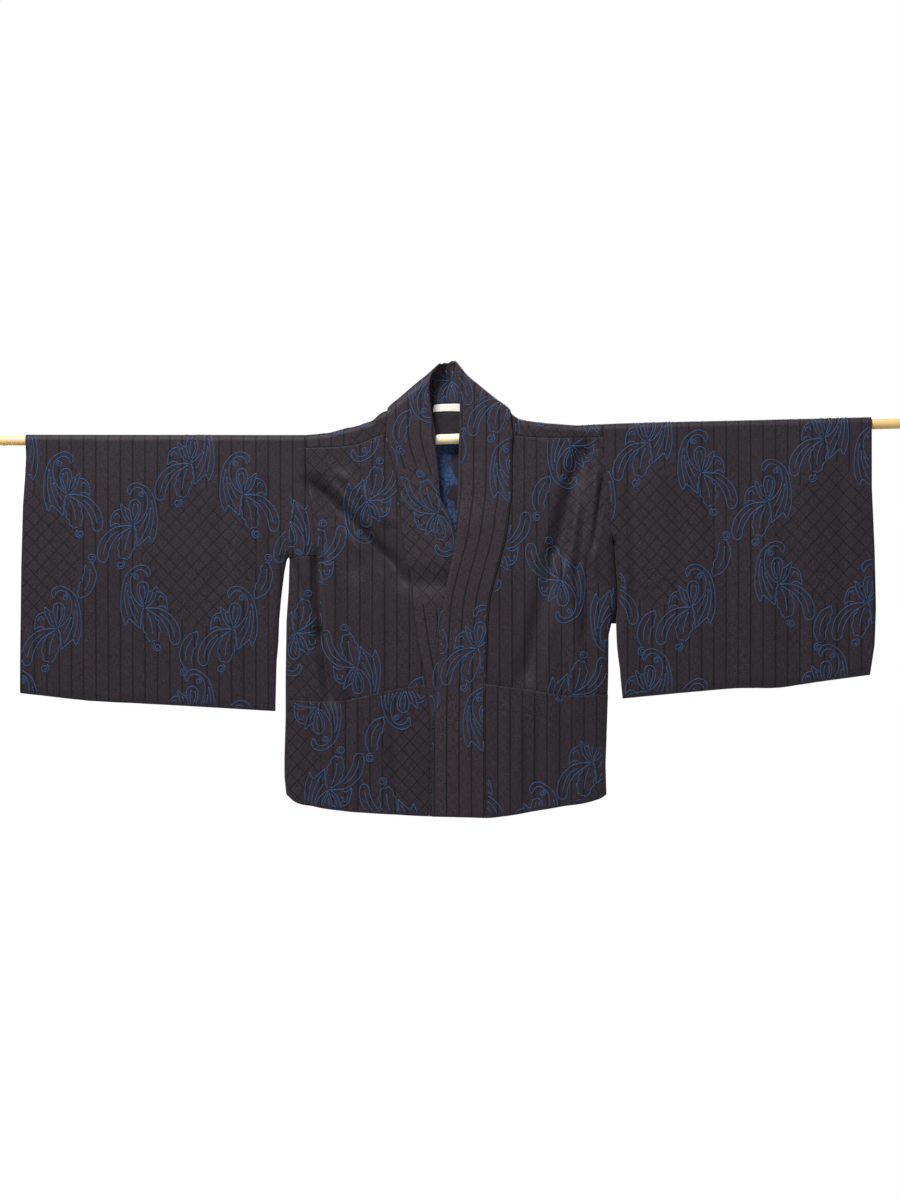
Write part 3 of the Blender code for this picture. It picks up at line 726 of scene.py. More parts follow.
def sleeve(side_rows, edges, across, bottom, inner_rows):
    """A sleeve's points: rings from the bottom up the front, over the rod and down the back."""
    side_rows = side_rows[:SLEEVE_ROWS]
    closure = sleeve_closure(inner_rows, bottom)
    place = between(*edges)
    share = np.clip(across, 0, 1)
    hem = along_line(bottom, place, share)
    top_x = place(0.0, across)
    top = -ridge_height(top_x)
    corner = np.searchsorted(across, 1)
    shares = np.concatenate([row_shares(side_rows, top[corner], hem[corner]), SLEEVE_BOTTOM_STEPS])
    down = mix(top, hem, shares[:, None])
    if across[-1] > 1:
        step_ends = SLEEVE_INNER_LEFT[0][0], STEP_LEFT.down[1] - SEAM
        step = mix(*step_ends, np.clip(across - 1, 0, 1))
        above = np.clip(row_shares(side_rows, top[-1], SIDE_ROWS.left[ARMHOLE_ROWS - 1]), 0, 1)
        above = np.concatenate([above, SLEEVE_BOTTOM_STEPS])[:, None]
        corner_shares = shares.copy()
        corner_height = hem[corner] - top[corner]
        corner_shares[ARMHOLE_ROWS - 1] = (step_ends[0] - top[corner]) / corner_height
        down = mix(top, hem, corner_shares[:, None])
        down = np.where(across > 1, mix(top, step, above), down)
    down = finer(np.concatenate([[top], down]), ROW_STEPS)
    x = place(down, across)
    x[0] = top_x
    front = panel_point(x, down, closed_layer(x, down, [closure], front_y, 0))
    back = panel_point(x, down, closed_layer(x, down, [closure], back_y, 0))
    angle = np.pi * np.arange(1, ARC_STEPS)[:, None] / ARC_STEPS
    radius = turn_radius(top_x)
    arc = panel_point(top_x + 0 * angle, top - radius * np.sin(angle), -radius * np.cos(angle))
    points = np.concatenate([front[::-1], arc, back])
    ids = numbered(points)
    ids[-1] = ids[0]
    rows = len(front)
    closed_from = ARMHOLE_ROWS * ROW_STEPS
    for row in range(closed_from, rows - 1):
        ids[rows + ARC_STEPS - 1 + row, corner] = ids[rows - 1 - row, corner]
    below = np.r_[0 : rows - 1 - closed_from, rows + ARC_STEPS + closed_from : len(points)]
    ids[np.ix_(below, across > 1)] = -1
    return points, ids


def sleeve_left():
    edges = (straight(CUFF_LEFT), straight(INNER_LEFT), straight(SLEEVE_ARMHOLE_LEFT))
    across = finer(np.concatenate([SLEEVE_COLUMNS, SLEEVE_EDGE_COLUMNS]), SLEEVE_STEPS)
    across = np.concatenate([across, finer(np.concatenate([[1], STEP_COLUMNS]), EDGE_STEPS)[1:]])
    return sleeve(SIDE_ROWS.left, edges, across, BOTTOM_LEFT, SLEEVE_INNER_LEFT)


def sleeve_right():
    edges = (straight(CUFF_RIGHT), straight(INNER_RIGHT))
    across = finer(np.concatenate([SLEEVE_COLUMNS, SLEEVE_EDGE_COLUMNS]), SLEEVE_STEPS)
    return sleeve(SIDE_ROWS.right, edges, across, BOTTOM_RIGHT, SLEEVE_INNER_RIGHT)


def front_strip_y(band, lap, down, share):
    """The depth of a front length of the band, whose free edge laps over or under the other."""
    sewn = front_y(sewn_edge(band, down), down) - BAND_PROUD
    lapped = ease(np.interp(down, BAND_LAP_BEGINS.down, BAND_LAP_BEGINS.share)) * lap
    to_neck = ease((NECK_BLEND - down) / NECK_BLEND)
    return mix(sewn - lapped * share, BAND_FRONT_Y, to_neck)


def front_strip(band, lap, shift, down, share):
    """A front length of the band, whose last row is the hem."""
    x = mix(sewn_edge(band, down) + shift, free_edge(band, down), share)
    down = np.broadcast_to(down, x.shape).copy()
    down[-1] = down_at(HEM, x[-1])
    return panel_point(x, down, front_strip_y(band, lap, down, share))


def neck_sections(section):
    """The neck table's columns at any section, smooth between its rows."""
    order = np.arange(len(NECK.sewn_x), dtype=float)
    columns = {name: smooth(section, order, values) for name, values in vars(NECK).items()}
    row = SimpleNamespace(**columns)
    flat = (section <= FIRST_TURN) | (section >= LAST_TURN)
    row.turn_x = np.where(flat, row.sewn_x, row.turn_x)
    row.turn_z = np.where(flat, row.sewn_z, row.turn_z)
    return row


def neck_outline(first, last):
    """The line of the turn from one section to another."""
    row = neck_sections(np.linspace(first, last, (last - first) * NECK_STEPS + 1))
    return SimpleNamespace(x=row.turn_x, down=-row.turn_z)


def neck_depth(layer, x, down):
    """The depth of the band round the neck: halfway at the turn, a layer's depth away from it."""
    outlines = (neck_outline(FIRST_TURN, OPEN_FROM), neck_outline(OPEN_TO, LAST_TURN))
    away = rounded(np.min([distance_to(line, x, down) for line in outlines], axis=0), NECK_ROUNDING)
    return mix(0.5 * (BAND_BACK_Y + BAND_FRONT_Y), layer, away)


def collar_crease(x, z):
    """The upright crease at the back of the collar: a bell curve across, deeper towards the top."""
    crease = BAND_CREASE * np.exp(-(((x - CREASE_X) / CREASE_WIDTH) ** 2))
    return crease * ease((z - CREASE_FROM) / (CREASE_TO - CREASE_FROM))


def neck_band(section, place):
    """The band round the neck: place is -1 at the sewn edge, 0 at the turn and 1 at the free edge.

    The turn is halfway between the depths of the back and the front, which the band reaches
    along a quarter of a circle on each side of it.
    """
    row = neck_sections(section)
    behind, before = np.clip(-place, 0, 1), np.clip(place, 0, 1)
    x = mix(row.turn_x, row.sewn_x, behind) + (row.free_x - row.turn_x) * before
    z = mix(row.turn_z, row.sewn_z, behind) + (row.free_z - row.turn_z) * before
    in_front = (place > 0) | (section <= FIRST_TURN) | (section >= LAST_TURN)
    layer = np.where(in_front, BAND_FRONT_Y, BAND_BACK_Y + collar_crease(x, z))
    return np.stack([x, neck_depth(layer, x, -z), z], -1)


BAND_PLACES = finer(np.array([-1, -0.6, -0.3, -0.14, -0.05, 0, 0.04, 0.12, 0.25, 0.45, 0.72, 1]), 3)
NECK_STEPS = 8


def band_sheet(left_down, right_down):
    """The band's points: up the left front, round the neck and down the right front."""
    shares = np.clip(BAND_PLACES, 0, 1)
    left = front_strip(BAND_LEFT, -BAND_LAP, SEAM / 2, left_down[:, None], shares)
    right = front_strip(BAND_RIGHT, BAND_LAP, -SEAM / 2, right_down[:, None], shares)
    last = len(NECK.sewn_x) - 1
    section = np.linspace(0, last, last * NECK_STEPS + 1)[1:-1]
    neck = neck_band(section[:, None], BAND_PLACES)
    section = np.concatenate([np.zeros(len(left)), section, np.full(len(right), last)])
    points = np.concatenate([left[::-1], neck, right])
    ids = numbered(points)
    turn = np.searchsorted(BAND_PLACES, 0)
    flat = (section <= FIRST_TURN) | (section >= LAST_TURN)
    ids[flat, :turn] = ids[flat, turn][:, None]
    open_top = (section >= OPEN_FROM) & (section <= OPEN_TO)
    ids[open_top, turn:] = ids[open_top, turn][:, None]
    return points, ids


def normals_of(points):
    """The direction out of a grid at each of its points, from its neighbours."""
    down_rows = np.gradient(points, axis=0)
    across = np.gradient(points, axis=1)
    normal = np.cross(down_rows, across)
    return normal / np.linalg.norm(normal, axis=-1, keepdims=True)


def grid_faces(ids):
    """A grid's faces as point numbers and as places in the grid.

    A face has four corners, or three where two neighbouring numbers are one point. A negative
    number leaves its faces out.
    """
    found = []
    for grid in (ids, np.arange(ids.size).reshape(ids.shape)):
        corners = np.stack([grid[:-1, :-1], grid[:-1, 1:], grid[1:, 1:], grid[1:, :-1]], -1)
        found.append(corners.reshape(-1, 4))
    numbers, places = found
    shown = (numbers >= 0).all(-1)
    numbers, places = numbers[shown], places[shown]
    same = numbers == np.roll(numbers, 1, axis=1)
    fours = same.sum(1) == 0
    threes = same.sum(1) == 1
    kept = ~same[threes]
    three_numbers = numbers[threes][kept].reshape(-1, 3)
    three_places = places[threes][kept].reshape(-1, 3)
    return [(numbers[fours], places[fours]), (three_numbers, three_places)]


def pocket(front, gape):
    """A patch pocket, made from the points of the front that it lies on, moved out."""
    rows = finer(POCKET_ROWS, ROW_STEPS)[:, None]
    covered = front[-len(rows) :]
    outward = normals_of(covered)
    outward = outward * -np.sign(outward[..., 1:2])
    middle = np.sin(np.pi * np.linspace(0, 1, covered.shape[1])) ** 0.7
    opened = gape * (1 - rows) ** 2 * middle
    lifted = covered + outward * (CLOTH + SEAM) + opened[..., None] * np.array([0, -1, 0])
    return lifted[:, :-FRONT_STEPS]


def neck_label():
    """A small label on the inside of the band at the back of the neck."""
    middle = (len(NECK.sewn_x) - 1) / 2
    outward = np.array([0, -BAND / 2 - SEAM - LABEL / 2, 0])
    return neck_band(middle + LABEL_SECTIONS[:, None], LABEL_PLACES) + outward


def layer_of(closures, layer_y, gap):
    """The depth of one layer of cloth as a function of place."""
    return lambda x, down: closed_layer(x, down, closures, layer_y, gap)


def over_rod(closures, gap):
    """The place of cloth that hangs over the rod, from x and its length from the top.

    The length is positive in front and negative behind. Up to a quarter of a turn the cloth lies
    on the rod: down = top - r cos(length / r) and y = -r sin(length / r).
    """

    def place(x, length):
        radius = turn_radius(x)
        top = -ridge_height(x)
        beyond = np.abs(length) - radius * np.pi / 2
        hanging = beyond > 0
        down = np.where(hanging, top + beyond, top - radius * np.cos(length / radius))
        front = closed_layer(x, down, closures, front_y, -gap)
        back = closed_layer(x, down, closures, back_y, gap)
        y = np.where(length > 0, front, back)
        return panel_point(x, down, np.where(hanging, y, -radius * np.sin(length / radius)))

    return place


def length_over_rod(points, in_front):
    """How far points of such cloth lie from its top, which is the length that over_rod takes."""
    x, y, down = points[..., 0], points[..., 1], -points[..., 2]
    radius = turn_radius(x)
    top = -ridge_height(x)
    sign = np.where(in_front, 1.0, -1.0)
    hanging = sign * (radius * np.pi / 2 + down - top)
    return np.where(down >= top, hanging, radius * np.arctan2(-y, top - down))


def first_rows(points, count):
    """True in a grid's first rows."""
    return np.broadcast_to((np.arange(len(points)) < count)[:, None], points.shape[:2])


# The pattern, in millimetres. Each line is drawn through a few points, right and up.
LINE_STEP = 3.0
# How far a thread's outer corners lie under the cloth's surface.
SUNK = 0.4


def spaced(length):
    return np.linspace(0, length, max(int(length / LINE_STEP), 2) + 1)


def reach_of(points):
    steps = np.hypot(*np.diff(points, axis=0).T)
    return np.concatenate([[0], np.cumsum(steps)])


def drawn(*points):
    """A smooth line through a few points."""
    points = np.array(points, float)
    reach = reach_of(points)
    at = spaced(reach[-1])
    return np.stack([smooth(at, reach, points[:, 0]), smooth(at, reach, points[:, 1])], -1)


def bent(*points):
    """A line with corners through a few points."""
    points = np.array(points, float)
    reach = reach_of(points)
    at = np.union1d(spaced(reach[-1]), reach)
    return np.stack([np.interp(at, reach, points[:, 0]), np.interp(at, reach, points[:, 1])], -1)


def toothed(depth, teeth, *points):
    """A smooth line whose edge steps out in teeth, to its left as it runs."""
    line = drawn(*points)
    along = np.gradient(line, axis=0)
    along = along / np.linalg.norm(along, axis=1, keepdims=True)
    phase = np.linspace(0, teeth, len(line)) % 1
    out = np.stack([-along[:, 1], along[:, 0]], -1)
    return line + depth * (phase * np.sin(np.pi * phase) ** 0.5)[:, None] * out


def spiral(x, y, radius, turns, start):
    """A spiral line round a point, from its outer end in to a third of its radius."""
    count = max(int(turns * radius * 5 / LINE_STEP), 10)
    share = np.linspace(0, 1, count)
    angle = np.radians(start) + 2 * np.pi * turns * share
    distance = radius * (1 - 0.7 * share)
    return np.stack([x + distance * np.cos(angle), y + distance * np.sin(angle)], -1)


SPRAY = [
    drawn(
        (-31, -29), (-38, -10), (-39, 16), (-36, 38), (-29, 56), (-18, 66), (-5, 71), (6, 67),
        (10, 59), (6, 51), (3, 58), (-3, 63), (-12, 62), (-20, 55), (-24, 41), (-22, 26),
        (-15, 13), (-7, 5), (0, 1),
    ),
    spiral(-13, 52, 5.5, 1.5, 90),
    drawn((-30, 42), (-33, 20), (-31, 0), (-27, -16)),
    drawn((-28, 30), (-26, 9), (-19, -10), (-11, -26)),
    drawn((-23, 20), (-17, 5), (-9, -9)),
    bent((-31, -29), (-26, -17), (-18, -24), (-6, -35), (-6, -20), (-4, -8), (-1, 0)),
    drawn((0, 2), (-8, 14), (-12, 27), (-11, 37), (-5, 43), (4, 41), (7, 32), (5, 19), (1, 5)),
    drawn((-7, 36), (-8, 27), (-5, 16), (-1, 8)),
    drawn((-1, 37), (1, 27), (0, 14)),
    drawn((6, 26), (13, 29), (21, 36), (20, 27), (17, 17), (11, 7), (4, 2)),
    drawn((14, 27), (11, 17), (6, 8)),
    drawn((20, 27), (27, 26), (34, 20), (37, 10), (38, -3)),
    drawn((22, 12), (26, 20), (31, 18), (32, 11)),
    drawn((38, -3), (32, 3), (25, 3), (20, -1), (10, 1), (1, 0)),
    drawn(
        (2, -1), (16, 0), (32, -4), (44, -13), (53, -24), (58, -38), (59, -50), (54, -60),
        (47, -60), (43, -55), (41, -44), (34, -28), (25, -16), (14, -8), (4, -3),
    ),
    drawn((26, -9), (39, -20), (47, -36), (50, -49)),
    toothed(3.5, 4, (8, -5), (18, -16), (23, -28), (24, -41), (20, -54)),
    toothed(3.5, 4, (11, -57), (5, -46), (0, -36), (-3, -20), (-2, -4)),
    bent((11, -57), (15, -54), (20, -54)),
    drawn((5, -8), (11, -24), (14, -44)),
    spiral(21, -65, 7.5, 1.5, 120),
]
LEAF = [
    toothed(3.5, 4, (14, 38), (13, 20), (6, 4), (2, -18)),
    drawn((14, 38), (-2, 30), (-12, 14), (-15, -4), (-8, -22)),
    drawn((6, 26), (-3, 10), (-5, -12)),
    spiral(-7, -30, 8, 1.6, 60),
]


def mirrored(lines):
    return [line * np.array([-1, 1]) for line in lines]


def turned_round(lines):
    return [-line for line in lines]


# One repeat of the pattern: which drawing, and how far right and down its middle lies.
REPEAT = [
    (SPRAY, 0, 0),
    (mirrored(SPRAY), -88, -51.5),
    (mirrored(SPRAY), 109.6, 51.5),
    (SPRAY, 127.8, 187.6),
    (mirrored(SPRAY), -16.6, 222.4),
    (turned_round(LEAF), 33.2, 134.5),
    (LEAF, -91.3, 264),
]
REPEAT_WIDTH, REPEAT_HEIGHT = 292.0, 412.0
FIELD_RIGHT, FIELD_DOWN = -74.7, 104.6
FIELD_HALF_WIDTH, FIELD_HALF_HEIGHT = 96.0, 121.0
STRIPE_WIDTH = 20.4
LATTICE_WIDTH, LATTICE_HEIGHT = 24.8, 26.4
# No line of a drawing lies farther than this from its middle.
REACH = 90.0
ARMHOLE_TO = 196
ARMHOLE_SPRAY = (-262, 148)
SIDE_SPRAY = (-252, 322)


def cut_off(line, inside):
    """The stretches of a line that lie inside."""
    kept = np.concatenate([[0], inside(line[:, 0], line[:, 1]).astype(int), [0]])
    changes = np.flatnonzero(np.diff(kept))
    return [line[a:b] for a, b in zip(changes[::2], changes[1::2]) if b - a > 2]


def laid(lines, x, length, turn, inside):
    """A drawing laid with its middle at a place, cut off where it leaves a panel."""
    placed = [np.array([x, length]) + turn * line * np.array([1, -1]) for line in lines]
    return [piece for line in placed for piece in cut_off(line, inside)]


def pattern_lines(origin, turn, inside, box):
    """The pattern's lines that lie on a panel, cut off at its edges.

    origin is where one repeat begins and turn is 1, or -1 where the cloth is upside down. inside
    tells which points lie on the panel, and box is (least x, least length, most x, most length).
    """
    found = []
    for across in range(-4, 5):
        for along in range(-4, 5):
            for lines, right, down in REPEAT:
                x = origin[0] + turn * (right + across * REPEAT_WIDTH)
                length = origin[1] + turn * (down + along * REPEAT_HEIGHT)
                near_x = box[0] - REACH < x < box[2] + REACH
                if near_x and box[1] - REACH < length < box[3] + REACH:
                    found.extend(laid(lines, x, length, turn, inside))
    return found


def ribbons(name, lines, place, lift, size, look):
    """Low raised threads laid on cloth along lines, each a closed bar with slanted sides.

    Across a line the corners lie at -w, -w/2, w/2 and w, the outer two under the surface.
    """
    half_width, height = size
    counts = np.array([len(line) for line in lines])
    ends = np.cumsum(counts)
    starts = ends - counts
    run = np.repeat(np.arange(len(lines)), counts)
    flat = np.concatenate(lines)
    x, length = flat[:, 0], flat[:, 1]
    points = place(x, length)
    across = place(x + NEAR, length) - place(x - NEAR, length)
    along = place(x, length + NEAR) - place(x, length - NEAR)
    normal = np.cross(along, across)
    normal = normal / np.linalg.norm(normal, axis=1, keepdims=True)
    number = np.arange(len(flat))
    after = np.minimum(number + 1, ends[run] - 1)
    before = np.maximum(number - 1, starts[run])
    forward = points[after] - points[before]
    side = np.cross(normal, forward)
    side = side / np.linalg.norm(side, axis=1, keepdims=True)
    out = np.array([-1, -0.5, 0.5, 1])[None, :, None] * half_width
    up = (lift + np.array([-SUNK, height, height, -SUNK]))[None, :, None]
    corners = points[:, None] + side[:, None] * out + normal[:, None] * up
    begin = number[number < ends[run] - 1]
    corner = np.arange(4)
    ring, following = begin[:, None] * 4 + corner, (begin + 1)[:, None] * 4 + corner
    walls = np.stack([ring, following, np.roll(following, -1, 1), np.roll(ring, -1, 1)], -1)
    first_caps = starts[:, None] * 4 + corner
    last_caps = (ends - 1)[:, None] * 4 + corner[::-1]
    faces = np.concatenate([walls.reshape(-1, 4), first_caps, last_caps])
    return mesh_piece(name, corners.reshape(-1, 3), [faces], [look])


def mesh_piece(name, vertices, faces, looks):
    """A piece from points in millimetres and faces of one size in each list."""
    mesh = bpy.data.meshes.new(name)
    listed = [face for group in faces for face in group.tolist()]
    mesh.from_pydata(vertices * MM, [], listed)
    for look in looks:
        mesh.materials.append(look)
    mesh.shade_smooth()
    piece = bpy.data.objects.new(name, mesh)
    bpy.context.scene.collection.objects.link(piece)
    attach(piece, "root")
    return piece


def shell(name, sheet, marks, thickness, looks, flip=False):
    """A thin cloth with the sheet in its middle, and its pattern's places as a map in metres.

    The first look is the outside's and the last the rim's. Of three the second is the inside's.
    """
    points, ids = sheet
    groups = grid_faces(ids)
    if flip:
        groups = [(numbers[:, ::-1], places[:, ::-1]) for numbers, places in groups]
    used, numbers = np.unique(np.concatenate([group[0].ravel() for group in groups]), return_inverse=True)
    split = np.cumsum([group[0].size for group in groups])[:-1]
    faces = [part.reshape(group[0].shape) for part, group in zip(np.split(numbers, split), groups)]
    piece = mesh_piece(name, points.reshape(-1, 3)[used], faces, looks)
    corners = np.concatenate([group[1].ravel() for group in groups])
    layer = piece.data.uv_layers.new(name="cloth")
    layer.data.foreach_set("uv", (marks.reshape(-1, 2)[corners] * MM).ravel())
    wall = piece.modifiers.new("wall", "SOLIDIFY")
    wall.thickness = thickness * MM
    wall.offset = 0
    wall.material_offset = len(looks) - 2 if len(looks) > 2 else 0
    # The rim takes the last look. On the panels and the band that is the dark thread: partly the seams' own
    # dark line, partly painted shade along seams and edges.
    wall.material_offset_rim = len(looks) - 1
    normals = piece.modifiers.new("normals", "WEIGHTED_NORMAL")
    normals.mode = "FACE_AREA"
    return piece


def marks_of(points, length, origin, turn):
    """The pattern's own coordinates of points: right of and down from its origin."""
    return np.stack([turn * (points[..., 0] - origin[0]), turn * (length - origin[1])], -1)


def linear(red, green, blue):
    """A screen colour as a shader takes it: c = ((s / 255 + 0.055) / 1.055) ** 2.4."""
    channels = (np.array([red, green, blue]) / 255 + 0.055) / 1.055
    return (*(channels**2.4), 1.0)


class Nodes:
    """The nodes of one material, added one after another."""

    def __init__(self, name):
        self.material = bpy.data.materials.new(name)
        self.material.use_nodes = True
        self.tree = self.material.node_tree
        self.shader = self.tree.nodes["Principled BSDF"]

    def add(self, kind, **settings):
        node = self.tree.nodes.new(kind)
        for key, value in settings.items():
            setattr(node, key, value)
        return node

    def join(self, value, socket):
        if isinstance(value, bpy.types.NodeSocket):
            self.tree.links.new(value, socket)
        else:
            socket.default_value = value

    def sum(self, operation, *values):
        node = self.add("ShaderNodeMath", operation=operation)
        for value, socket in zip(values, node.inputs):
            self.join(value, socket)
        return node.outputs[0]

    def ramp(self, value, low, high, smoothly="SMOOTHSTEP"):
        """0 below low and 1 above high."""
        node = self.add("ShaderNodeMapRange", interpolation_type=smoothly)
        for key, setting in (("Value", value), ("From Min", low), ("From Max", high)):
            self.join(setting, node.inputs[key])
        return node.outputs["Result"]

    def blend(self, share, first, second):
        node = self.add("ShaderNodeMix", data_type="RGBA")
        for index, value in ((0, share), (6, first), (7, second)):
            self.join(value, node.inputs[index])
        return node.outputs[2]

    def on_object(self):
        """Where a point lies on its piece."""
        return self.add("ShaderNodeTexCoord").outputs["Object"]

    def parts(self, vector):
        node = self.add("ShaderNodeSeparateXYZ")
        self.join(vector, node.inputs[0])
        return node.outputs

    def noise(self, where, scale, detail=2.0):
        node = self.add("ShaderNodeTexNoise")
        self.join(where, node.inputs["Vector"])
        self.join(scale, node.inputs["Scale"])
        self.join(detail, node.inputs["Detail"])
        return node.outputs["Fac"]

    def wrapped(self, value, middle, period):
        """How far a value is from the nearest of the middles, one to each period."""
        away = self.sum("SUBTRACT", value, middle)
        return self.sum("ABSOLUTE", self.sum("WRAP", away, -period / 2, period / 2))

    def finish(self, colour, height, roughness, strength=0.35, sheen=0.1, specular=0.25):
        bump = self.add("ShaderNodeBump")
        self.join(height, bump.inputs["Height"])
        self.join(strength, bump.inputs["Strength"])
        self.join(0.001, bump.inputs["Distance"])
        self.join(bump.outputs["Normal"], self.shader.inputs["Normal"])
        self.join(colour, self.shader.inputs["Base Color"])
        self.join(roughness, self.shader.inputs["Roughness"])
        self.join(sheen, self.shader.inputs["Sheen Weight"])
        self.join(specular, self.shader.inputs["Specular IOR Level"])
        return self.material


def cloth_map(nodes):
    """The cloth's map in metres: its two parts and the whole."""
    found = nodes.add("ShaderNodeUVMap", uv_map="cloth").outputs[0]
    parts = nodes.parts(found)
    return parts[0], parts[1], found


def shaded(colour, red, green, blue):
    """A shader's colour with its red, green and blue multiplied."""
    return tuple(np.array(colour) * np.array([red, green, blue, 1]))


def crossed_lines(nodes, right, down):
    """A lattice of slanted lines: 1 on a line and 0 between them."""
    slant = nodes.sum("MULTIPLY", down, LATTICE_WIDTH / LATTICE_HEIGHT)
    rising = nodes.wrapped(nodes.sum("ADD", right, slant), 0.0, LATTICE_WIDTH * MM)
    falling = nodes.wrapped(nodes.sum("SUBTRACT", right, slant), 0.0, LATTICE_WIDTH * MM)
    return nodes.ramp(nodes.sum("MINIMUM", rising, falling), 0.0017, 0.0006)


def stretched(nodes, where, across, along):
    """Coordinates made finer in each direction, for streaks."""
    node = nodes.add("ShaderNodeVectorMath", operation="MULTIPLY")
    nodes.join(where, node.inputs[0])
    nodes.join((across, along, 1.0), node.inputs[1])
    return node.outputs[0]


def woven(name, ground, dark, shade=1.0):
    """The dark silk: stripes, with a lattice in fields that narrow to points above and below. A shade below
    1 darkens all its colours: painted shade.
    """
    nodes = Nodes(name)
    right, down, where = cloth_map(nodes)
    stripe = nodes.ramp(nodes.wrapped(right, 0.0, STRIPE_WIDTH * MM), 0.0019, 0.0008)
    lattice = crossed_lines(nodes, right, down)
    from_middle = nodes.wrapped(right, FIELD_RIGHT * MM, REPEAT_WIDTH * MM)
    beside = nodes.wrapped(down, FIELD_DOWN * MM, REPEAT_HEIGHT * MM)
    turned = nodes.sum("MINIMUM", nodes.sum("DIVIDE", beside, FIELD_HALF_HEIGHT * MM), 1.0)
    bulge = nodes.sum("COSINE", nodes.sum("MULTIPLY", turned, np.pi / 2))
    bulge = nodes.sum("POWER", nodes.sum("MAXIMUM", bulge, 0.0), 0.9)
    bulge = nodes.sum("MULTIPLY", bulge, FIELD_HALF_WIDTH * MM)
    field = nodes.ramp(nodes.sum("SUBTRACT", bulge, from_middle), -0.002, 0.002)
    outside = nodes.sum("SUBTRACT", 1.0, field)
    lines = nodes.sum("ADD", nodes.sum("MULTIPLY", lattice, field), nodes.sum("MULTIPLY", stripe, outside))
    grain = nodes.noise(stretched(nodes, where, 700.0, 110.0), 1.0)
    cross = nodes.noise(stretched(nodes, where, 160.0, 700.0), 1.0)
    cloudy = nodes.noise(stretched(nodes, where, 14.0, 9.0), 1.0)
    ground = shaded(linear(*ground), shade, shade, shade)
    dark = shaded(linear(*dark), shade, shade, shade)
    weave = nodes.ramp(nodes.sum("ADD", grain, cross), 0.75, 1.25, "LINEAR")
    colour = nodes.blend(weave, shaded(ground, 0.42, 0.42, 0.44), shaded(ground, 1.8, 1.72, 1.85))
    calm = nodes.sum("MULTIPLY", nodes.ramp(cloudy, 0.35, 0.65), 0.5)
    colour = nodes.blend(calm, colour, ground)
    colour = nodes.blend(nodes.sum("MULTIPLY", lines, 0.92), colour, dark)
    height = nodes.sum("ADD", nodes.sum("MULTIPLY", grain, 0.5), nodes.sum("MULTIPLY", cross, 0.4))
    height = nodes.sum("SUBTRACT", height, nodes.sum("MULTIPLY", lines, 0.5))
    return nodes.finish(colour, height, 0.62)


def reverse_side(name):
    """The inside of the silk: blue threads lie loose behind leaves, and a dark facing above the rod."""
    nodes = Nodes(name)
    where = cloth_map(nodes)[2]
    streaks = nodes.noise(stretched(nodes, where, 420.0, 60.0), 1.0)
    leaf = nodes.noise(stretched(nodes, where, 110.0, 64.0), 1.0, 1.0)
    leaf = nodes.ramp(nodes.sum("ABSOLUTE", nodes.sum("SUBTRACT", leaf, 0.5)), 0.01, 0.05)
    patches = nodes.ramp(nodes.noise(stretched(nodes, where, 34.0, 24.0), 1.0, 1.0), 0.36, 0.46)
    blue = nodes.sum("MULTIPLY", nodes.sum("MULTIPLY", leaf, patches), nodes.ramp(streaks, 0.0, 0.6))
    colour = nodes.blend(blue, linear(40, 36, 46), linear(54, 82, 128))
    place = nodes.parts(nodes.on_object())
    lattice = crossed_lines(nodes, place[0], place[2])
    facing = nodes.blend(nodes.sum("MULTIPLY", lattice, 0.6), linear(39, 34, 39), linear(26, 22, 26))
    colour = nodes.blend(nodes.ramp(place[2], 0.002, 0.006), colour, facing)
    return nodes.finish(colour, streaks, 0.6)


def thread(name, screen, variety):
    """Silk thread, a little uneven in colour."""
    nodes = Nodes(name)
    where = nodes.on_object()
    fine = nodes.noise(where, 700.0)
    base = linear(*screen)
    colour = nodes.blend(fine, shaded(base, *[1 - variety] * 3), shaded(base, *[1 + variety] * 3))
    return nodes.finish(colour, fine, 0.55, strength=0.5)


def tape(name):
    """A plain woven cream tape."""
    nodes = Nodes(name)
    where = nodes.on_object()
    ribs = nodes.noise(stretched(nodes, where, 300.0, 1600.0), 1.0)
    cloudy = nodes.noise(where, 60.0)
    colour = nodes.blend(cloudy, linear(248, 245, 236), linear(255, 253, 248))
    return nodes.finish(colour, ribs, 0.7, strength=0.3)


def bamboo(name):
    """Varnished bamboo with fine lengthwise grain, near white in its middle as a painted highlight, and
    darker towards its ends.
    """
    nodes = Nodes(name)
    where = nodes.on_object()
    grain = nodes.noise(stretched(nodes, where, 18.0, 900.0), 1.0, 4.0)
    cloudy = nodes.noise(stretched(nodes, where, 6.0, 40.0), 1.0)
    # The pale, near white colours stand for the highlight along the rod's middle: painted highlight.
    colour = nodes.blend(nodes.ramp(grain, 0.3, 0.7), linear(255, 234, 180), linear(255, 250, 234))
    colour = nodes.blend(nodes.sum("MULTIPLY", cloudy, 0.35), colour, linear(255, 240, 200))
    from_middle = nodes.sum("ABSOLUTE", nodes.parts(where)[0])
    colour = nodes.blend(nodes.ramp(from_middle, 0.1, 0.7), colour, linear(247, 208, 140))
    return nodes.finish(colour, grain, 0.3, strength=0.12, sheen=0.0, specular=0.6)


def plain(name, screen, roughness):
    """A matt surface with faint clouds."""
    nodes = Nodes(name)
    where = nodes.on_object()
    cloudy = nodes.noise(where, 3.0)
    base = linear(*screen)
    colour = nodes.blend(cloudy, shaded(base, 0.98, 0.98, 0.98), base)
    return nodes.finish(colour, cloudy, roughness, strength=0.02, sheen=0.0)


def glowing(name, strength):
    """A white surface that gives off its own even light."""
    nodes = Nodes(name)
    nodes.join((0.0, 0.0, 0.0, 1.0), nodes.shader.inputs["Base Color"])
    nodes.join((1.0, 1.0, 1.0, 1.0), nodes.shader.inputs["Emission Color"])
    nodes.join(strength, nodes.shader.inputs["Emission Strength"])
    nodes.join(0.0, nodes.shader.inputs["Specular IOR Level"])
    return nodes.material


